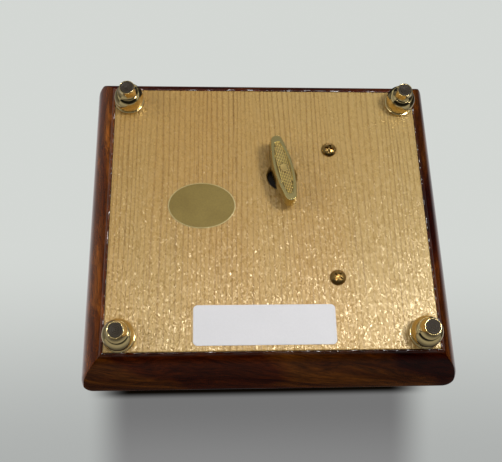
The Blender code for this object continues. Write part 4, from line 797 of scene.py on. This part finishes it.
def build_screws(material):
    """Pan heads on a polar grid of points, each above its stud."""
    count = 120
    head_top = UNDERSIDE - HAIRLINE
    for place, degrees in (("front", 38.0), ("rear", 12.0)):
        low, high = corners("movement_screw_" + place)
        x, y = (low.x + high.x) / 2, (low.y + high.y) / 2
        radius = (high.x - low.x) / 2
        height = head_top - low.z
        turn = math.radians(degrees)
        rings = []
        for share in (0.02, 0.08, 0.14, 0.18, 0.20, 0.22, 0.26, 0.34, 0.42, 0.50, 0.56, 0.60, 0.62, 0.66,
                      0.72, 0.80, 0.87, 0.93, 0.97, 0.99, 1.0):
            ring = oval(radius * share, radius * share, count, x, y, turn)
            rings.append([(px, py, low.z + height * screw_depth(share, math.tau * i / count))
                          for i, (px, py) in enumerate(ring)])
        rings.append(level(ring, head_top))
        rings += [level(oval(STUD_RADIUS, STUD_RADIUS, count, x, y, turn), z) for z in (head_top, high.z)]
        piece(f"pan_screw_{place}", loft("pan_screw", rings), "case", material,
              ("movement_screw_" + place,), 40.0)


def build_papers(foil, label_paper):
    """The oval sticker and the paper label, with softened edges."""

    def sheet(name, node, material, outline):
        low, high = corners(node)
        centre, half = (low + high) / 2, (high - low) / 2
        rings = [level(outline(half.x + grow, half.y + grow, centre), z) for grow, z in
                 ((-0.00004, high.z), (0.0, high.z - 0.00004), (0.0, low.z + 0.00003), (-0.00005, low.z),
                  (-0.0004, low.z))]
        piece(name, loft(name, rings), "case", material, (node,), 40.0)

    sheet("foil_sticker", "oval_sticker", foil,
          lambda half_x, half_y, centre: oval(half_x, half_y, 128, centre.x, centre.y))
    sheet("plain_label", "paper_label", label_paper,
          lambda half_x, half_y, centre: rounded(half_x, half_y, 0.0014, 12, centre.x, centre.y))


# The lid

def build_lid(veneer_material, border_material, rosette_material):
    """The lid's board with its round edge, the border let into it, and the medallion in the middle."""
    top = BOX_TOP - UNDERSIDE
    bottom = BOARD_BOTTOM - UNDERSIDE
    knee = top - LID_EDGE_RADIUS
    section = [(outset(bottom) - 0.0001, bottom), (outset(bottom + 0.0001), bottom + 0.0001),
               (outset(knee), knee)]
    for i in range(1, 15):
        angle = math.radians(90 * i / 14)
        section.append((outset(knee) - LID_EDGE_RADIUS * (1 - math.cos(angle)),
                        knee + LID_EDGE_RADIUS * math.sin(angle)))
    rings = []
    for out, height in section:
        radius = max(CORNER_RADIUS + out - outset(knee), CORNER_RADIUS * 0.3)
        outline = rounded(HALF_WIDTH + out, HALF_DEPTH + out, radius, 12, sides=24)
        rings.append(level(outline, UNDERSIDE + height))
    low, high = corners("lid_border_inlay")
    depth = high.z - low.z
    groove_end = BORDER_WIDTH + HAIRLINE
    for inset, z in ((-HAIRLINE, BOX_TOP), (-HAIRLINE, low.z), (groove_end, low.z), (groove_end, BOX_TOP)):
        rings.append(level(rounded(high.x - inset, high.y - inset, 0.0001, 12, sides=24), z))
    medallion = corners("lid_medallion")[1]

    # an oval with one point for each point of the lid's outline
    around = []
    for px, py, _ in rings[-1]:
        angle = math.atan2(py / medallion.y, px / medallion.x)
        around.append((1.006 * medallion.x * math.cos(angle), 1.006 * medallion.y * math.sin(angle)))
    rings += [level(around, BOX_TOP), level(around, BOX_TOP - depth)]
    piece("veneered_lid_board", loft("veneered_lid_board", rings), "lid", veneer_material,
          ("lid_board",), 25.0)
    rings = [level(rounded(high.x - inset, high.y - inset, 0.0001, 2), z) for inset, z in
             ((0.0, low.z), (0.0, high.z), (BORDER_WIDTH, high.z), (BORDER_WIDTH, low.z))]
    piece("border_inlay", loft("border_inlay", rings, closed=True), "lid", border_material,
          ("lid_border_inlay",), 25.0)
    rings = [level(oval(scale * medallion.x, scale * medallion.y, 160), z) for scale, z in
             ((1.0, BOX_TOP - depth + HAIRLINE), (1.0, BOX_TOP - 0.00003), (0.998, BOX_TOP))]
    piece("oval_inlay", loft("oval_inlay", rings), "lid", rosette_material,
          ("lid_medallion",), 25.0)


def build_hinges(material):
    """Pins of both hinges, finer than the leaves that carry them."""
    for place in ("left", "right"):
        paint(material, f"hinge_{place}_case_leaf", f"hinge_{place}_lid_leaf")
        low, high = corners(f"hinge_{place}_pin")
        y, z = (low.y + high.y) / 2, (low.z + high.z) / 2
        profile = [(0.0, low.x), (PIN_RADIUS * 0.8, low.x), (PIN_RADIUS, low.x + 0.0001),
                   (PIN_RADIUS, high.x - 0.0001), (PIN_RADIUS * 0.8, high.x), (0.0, high.x)]
        mesh = lathe("hinge_pin", profile, 32)
        for vertex in mesh.vertices:
            across, along, height = vertex.co
            vertex.co = (height, y + across, z + along)
        piece(f"riveted_pin_{place}", mesh, "case", material, (f"hinge_{place}_pin",), 40.0)


# Camera, light and floor

def view_axes():
    """Right, up and forward of the photograph's camera."""
    forward = Vector((0.0587, -0.3572, 0.9322)).normalized()
    right = Vector((0.9983, 0.0232, -0.0539))
    right = (right - forward * right.dot(forward)).normalized()
    return right, right.cross(forward), forward


def turned_to(across, upwards, backwards):
    """A turn that brings X, Y and Z to three directions."""
    return Matrix((across, upwards, backwards)).transposed().to_4x4()


def build_camera():
    data = bpy.data.cameras.new("camera")
    data.sensor_fit = "HORIZONTAL"
    data.sensor_width = SENSOR_WIDTH
    data.lens = FOCAL_LENGTH / PICTURE_WIDTH * SENSOR_WIDTH
    data.clip_start = 0.005
    camera = add_object("camera", data)
    right, up, forward = view_axes()
    camera.matrix_world = Matrix.Translation(CAMERA_PLACE) @ turned_to(right, up, -forward)
    bpy.context.scene.camera = camera


def lamp(name, direction, distance, size, share, length=None, shape="RECTANGLE", glossy=True, diffuse=True):
    """A lamp panel; share is the part of the plain light level that it gives a surface facing it."""
    light = bpy.data.lights.new(name, "AREA")
    light.shape = shape
    light.size = length or size
    light.size_y = size
    light.energy = math.pi ** 2 * distance ** 2 * share
    obj = add_object(name, light)
    away = Vector(direction).normalized()
    across = (Vector((1.0, 0.0, 0.0)) - away * away.x).normalized()
    place = away * distance + Vector((0.0, 0.0, 0.02))
    obj.matrix_world = Matrix.Translation(place) @ turned_to(across, away.cross(across), away)
    obj.visible_camera = False
    obj.visible_glossy = glossy
    obj.visible_diffuse = diffuse


def build_lamps():
    """Lamps below the box for the underside, which the photograph shows, and plain fills above."""
    lamp("lower_key", (0.50, -0.06, -0.86), 0.60, 0.14, 0.49, shape="ELLIPSE")
    lamp("lower_wide", (0.20, -0.21, -0.96), 0.60, 0.15, 0.08, 0.80)
    lamp("lower_spark", (0.16, -0.10, -0.98), 0.60, 0.014, 0.22, 0.60, diffuse=False)
    lamp("lower_glint", (-0.12, -0.17, -0.97), 0.60, 0.12, 0.018, shape="ELLIPSE", diffuse=False)
    lamp("lower_fill", (-0.85, -0.05, -0.50), 0.70, 0.40, 0.31, glossy=False)
    lamp("upper_key", (-0.75, 0.35, 0.56), 0.90, 0.60, 0.42)
    lamp("upper_fill", (0.70, 0.45, 0.55), 0.90, 0.60, 0.28)
    lamp("rear_fill", (0.15, -0.97, 0.15), 0.90, 0.40, 0.25)


def build_world():
    """Pale surroundings above, a dimmer room below, and behind the box a painted reflection of it in the
    table, with a painted contact shadow along its near edge and painted shade that greys the lower part of
    the picture.
    """
    world = bpy.data.worlds.new("world")
    bpy.context.scene.world = world
    world.use_nodes = True
    w = Nodes(world.node_tree, "Generated")
    right, up, forward = view_axes()
    overhead = Vector((0.0, 0.0, 1.0))

    def side(normal, start, end):
        """0 to 1 across a plane of directions."""
        inputs = {0: w.place, 1: normal}
        dot = w.node("ShaderNodeVectorMath", inputs, operation="DOT_PRODUCT").outputs["Value"]
        return w.ease(dot, start, end)

    def edge(x, y, along, start, soft):
        """The directions on one side of a line through a point of the picture, given as tangents."""
        across = Vector((along[1], -along[0]))
        normal = right * across.x + up * across.y - forward * (across.x * x + across.y * y)
        return side(normal.normalized(), start, soft)

    # painted shade: directions toward the lower part of the picture fade to grey
    fall = edge(0.0, -0.02, (1.0, 0.0), 0.0, 0.30)
    above = w.mix(fall, PALE, (0.420, 0.435, 0.425))
    # the directions just behind the box, where its painted reflection in the table lies
    left_edge = edge(-0.208, -0.30, (0.0, 1.0), -0.030, 0.030)
    right_edge = edge(0.232, -0.30, (0.0, -1.0), -0.030, 0.030)
    near_edge = edge(0.0, -0.20, (1.0, 0.0), -0.02, 0.02)
    inside = w.math("MULTIPLY", w.math("MULTIPLY", left_edge, right_edge), near_edge)
    # painted reflection of the box in the table: darker grey next to the box, lighter further down the
    # picture
    table = w.mix(edge(0.0, -0.25, (1.0, 0.0), 0.0, 0.09), (0.172, 0.172, 0.172), (0.235, 0.235, 0.235))
    reflection = w.mix(w.math("MULTIPLY", inside, 0.99), above, table)
    # a near-black strip along the box's near edge: painted contact shadow
    painted_contact_shadow = w.math("MULTIPLY", inside, edge(0.0, -0.2373, (-1.0, -0.018), -0.0050, 0.0050))
    reflection = w.mix(painted_contact_shadow, reflection, (0.003, 0.002, 0.001))
    upper = w.mix(side(overhead, 0.40, 0.66), PALE, reflection)
    color = w.mix(side(overhead, -0.16, -0.08), (0.33, 0.335, 0.34), upper)
    background = w.tree.nodes["Background"]
    w.plug(background.inputs["Color"], color)
    w.plug(background.inputs["Strength"], 1.0)


def flag(name, azimuth, levels):
    """A dark or glowing studio flag that only shows in reflections, a painted reflection: part of a dome,
    with a level for each elevation.
    """
    radius = 0.5
    rows, columns = 16, 24
    bm = bmesh.new()
    start, end = angles(*azimuth)
    low, high = angles(levels[0][0], levels[-1][0])
    grid = []
    for i in range(rows + 1):
        tilt = low + (high - low) * i / rows
        turns = [start + (end - start) * j / columns for j in range(columns + 1)]
        reach = radius * math.cos(tilt)
        grid.append([bm.verts.new((reach * math.sin(turn), reach * math.cos(turn), radius * math.sin(tilt)))
                     for turn in turns])
    for lower, upper in zip(grid, grid[1:]):
        for j in range(columns):
            bm.faces.new((lower[j], lower[j + 1], upper[j + 1], upper[j]))
    mesh = to_mesh(name, bm, outward=False)
    m = Shade(name)
    share = m.math("MULTIPLY_ADD", m.axes()[2], 0.5 / radius, 0.5)
    stops = [(0.5 + 0.5 * math.sin(math.radians(elevation)), painted_light_level) for elevation, painted_light_level in levels]
    glow = m.node("ShaderNodeEmission", {"Color": m.ramp(share, *stops)})
    m.tree.nodes.remove(m.shader)
    m.surface(glow.outputs[0])
    mesh.materials.append(m.material)
    obj = add_object(name, mesh)
    obj.visible_camera = False
    obj.visible_diffuse = False
    obj.visible_shadow = False
    obj.visible_transmission = False


def build_flags():
    flag("front_flag", (-72, 72),
         ((-50, 0.008), (-8, 0.008), (3, 0.42), (22, 0.26), (36, 0.12), (82, 0.03)))
    flag("rear_flag", (150, 210), ((8, 0.008), (46, 0.02), (64, 0.30)))
    flag("left_flag", (-150, -72), ((-2, 0.05), (36, 0.20), (55, 0.62), (66, 0.74)))
    flag("right_flag", (72, 150), ((-2, 0.008), (30, 0.02), (44, 0.48), (66, 0.72)))


def build_floor():
    """A plain pale floor that shows only from above, and doesn't shade the underside of the box."""
    bm = bmesh.new()
    bmesh.ops.create_circle(bm, cap_ends=True, segments=96, radius=14.0)
    mesh = to_mesh("floor", bm, outward=False)
    m = Shade("floor", 1.0, Specular_IOR_Level=0.0, Base_Color=(0.36, 0.37, 0.36),
              Emission_Color=(0.30, 0.31, 0.30), Emission_Strength=1.0)
    reach = m.node("ShaderNodeVectorMath", {0: m.place}, operation="LENGTH").outputs["Value"]
    far = m.node("ShaderNodeEmission", {"Color": PALE}).outputs[0]
    near_to_far = {0: m.ease(reach, 0.15, 0.55), 1: m.shader.outputs[0], 2: far}
    surface = m.node("ShaderNodeMixShader", near_to_far).outputs[0]
    front = m.math("SUBTRACT", 1.0, m.node("ShaderNodeNewGeometry").outputs["Backfacing"])
    shown = m.math("MULTIPLY", m.node("ShaderNodeLightPath").outputs["Is Camera Ray"], front)
    clear = m.node("ShaderNodeBsdfTransparent").outputs[0]
    m.surface(m.node("ShaderNodeMixShader", {0: shown, 1: clear, 2: surface}).outputs[0])
    mesh.materials.append(m.material)
    add_object("floor", mesh)


# The whole scene

def dress_outside():
    """The case, the plate with what is on it, the feet and the key."""
    # copies of one veneer at different levels, which paint the light and shade of each side; the front, the
    # darkest, is painted shade
    front = veneer("veneer_front", angles(14, 12, 0), 0.60, 0.25, angles(0, -52, 0))
    right = veneer("veneer_sides", angles(14, 38, 90), 1.9)
    left = veneer("veneer_left", angles(14, -38, 90), 1.05)
    rear = veneer("veneer_rear", angles(14, 12, 0), 1.5)
    build_case({"front": front, "rear": rear, "left": left, "right": right})
    build_plate(plate_wood())
    build_feet(brass("foot_brass", (0.76, 0.60, 0.29), 0.10, turned=True),
               plastic("foot_pad", (0.050, 0.038, 0.024), 0.55, 0.25))
    build_screws(brass("screw_brass", (0.37, 0.235, 0.075), 0.24, 0.6))
    build_key(key_metal("key_border", (0.60, 0.49, 0.20), 0.15),
              key_metal("key_field", (0.13, 0.085, 0.027), 0.5),
              key_metal("key_dots", (0.98, 0.82, 0.38), 0.30, 0.5),
              key_metal("key_boss", (0.40, 0.30, 0.11), 0.34, 0.8))
    build_papers(gold_foil(), paper("label_paper", (0.735, 0.722, 0.730)))


def dress_inside():
    """Finished materials for the movement, its cover, the dividers and the lining."""
    paint(brass("gear_brass", (0.78, 0.60, 0.26), 0.38), "crown_wheel", "ratchet_wheel", "cylinder_pinion",
          "cylinder_gear")
    paint(brass("cylinder_brass", (0.82, 0.66, 0.32), 0.22), "pinned_cylinder", "spring_drum")
    paint(steel("arbor_steel", (0.60, 0.60, 0.62), 0.25), "winding_arbor", "cylinder_arbor", "worm",
          "stop_rod", "ratchet_click", "comb_screw_front", "comb_screw_rear")
    paint(steel("bracket_steel", (0.66, 0.64, 0.60), 0.34, (1, 0, 1)), "front_bearing", "rear_bearing",
          "governor_frame", "comb_base")
    # the bedplate is made near-black: painted shade for the dark seen through the key hole
    paint(steel("bedplate_painted_shade", (0.060, 0.055, 0.050), 0.50, (1, 0, 1)), "movement_bedplate")
    paint(steel("spring_steel", (0.55, 0.56, 0.58), 0.25, (0, 1, 1)), "mainspring", "comb")
    paint(plastic("governor_plastic", (0.80, 0.78, 0.70), 0.35), "governor_wheel", "air_fan")
    paint(divider_wood(), "divider_left", "divider_right")
    paint(clear_sheet(), "movement_cover")
    paint(flock("red_lining", (0.26, 0.012, 0.028)), "tray_left", "tray_right", "lid_lining")


def main():
    bpy.context.scene.view_settings.view_transform = "Standard"
    build_camera()
    build_world()
    build_floor()
    build_lamps()
    build_flags()
    dress_outside()
    dress_inside()
    board = veneer("veneer_lid", angles(4, 3, 2), 1.5)
    build_lid(board, inlay("inlay_border", border_lines), inlay("inlay_rosette", petals))
    build_hinges(brass("hinge_brass", (0.48, 0.33, 0.13), 0.30, 0.5))


main()
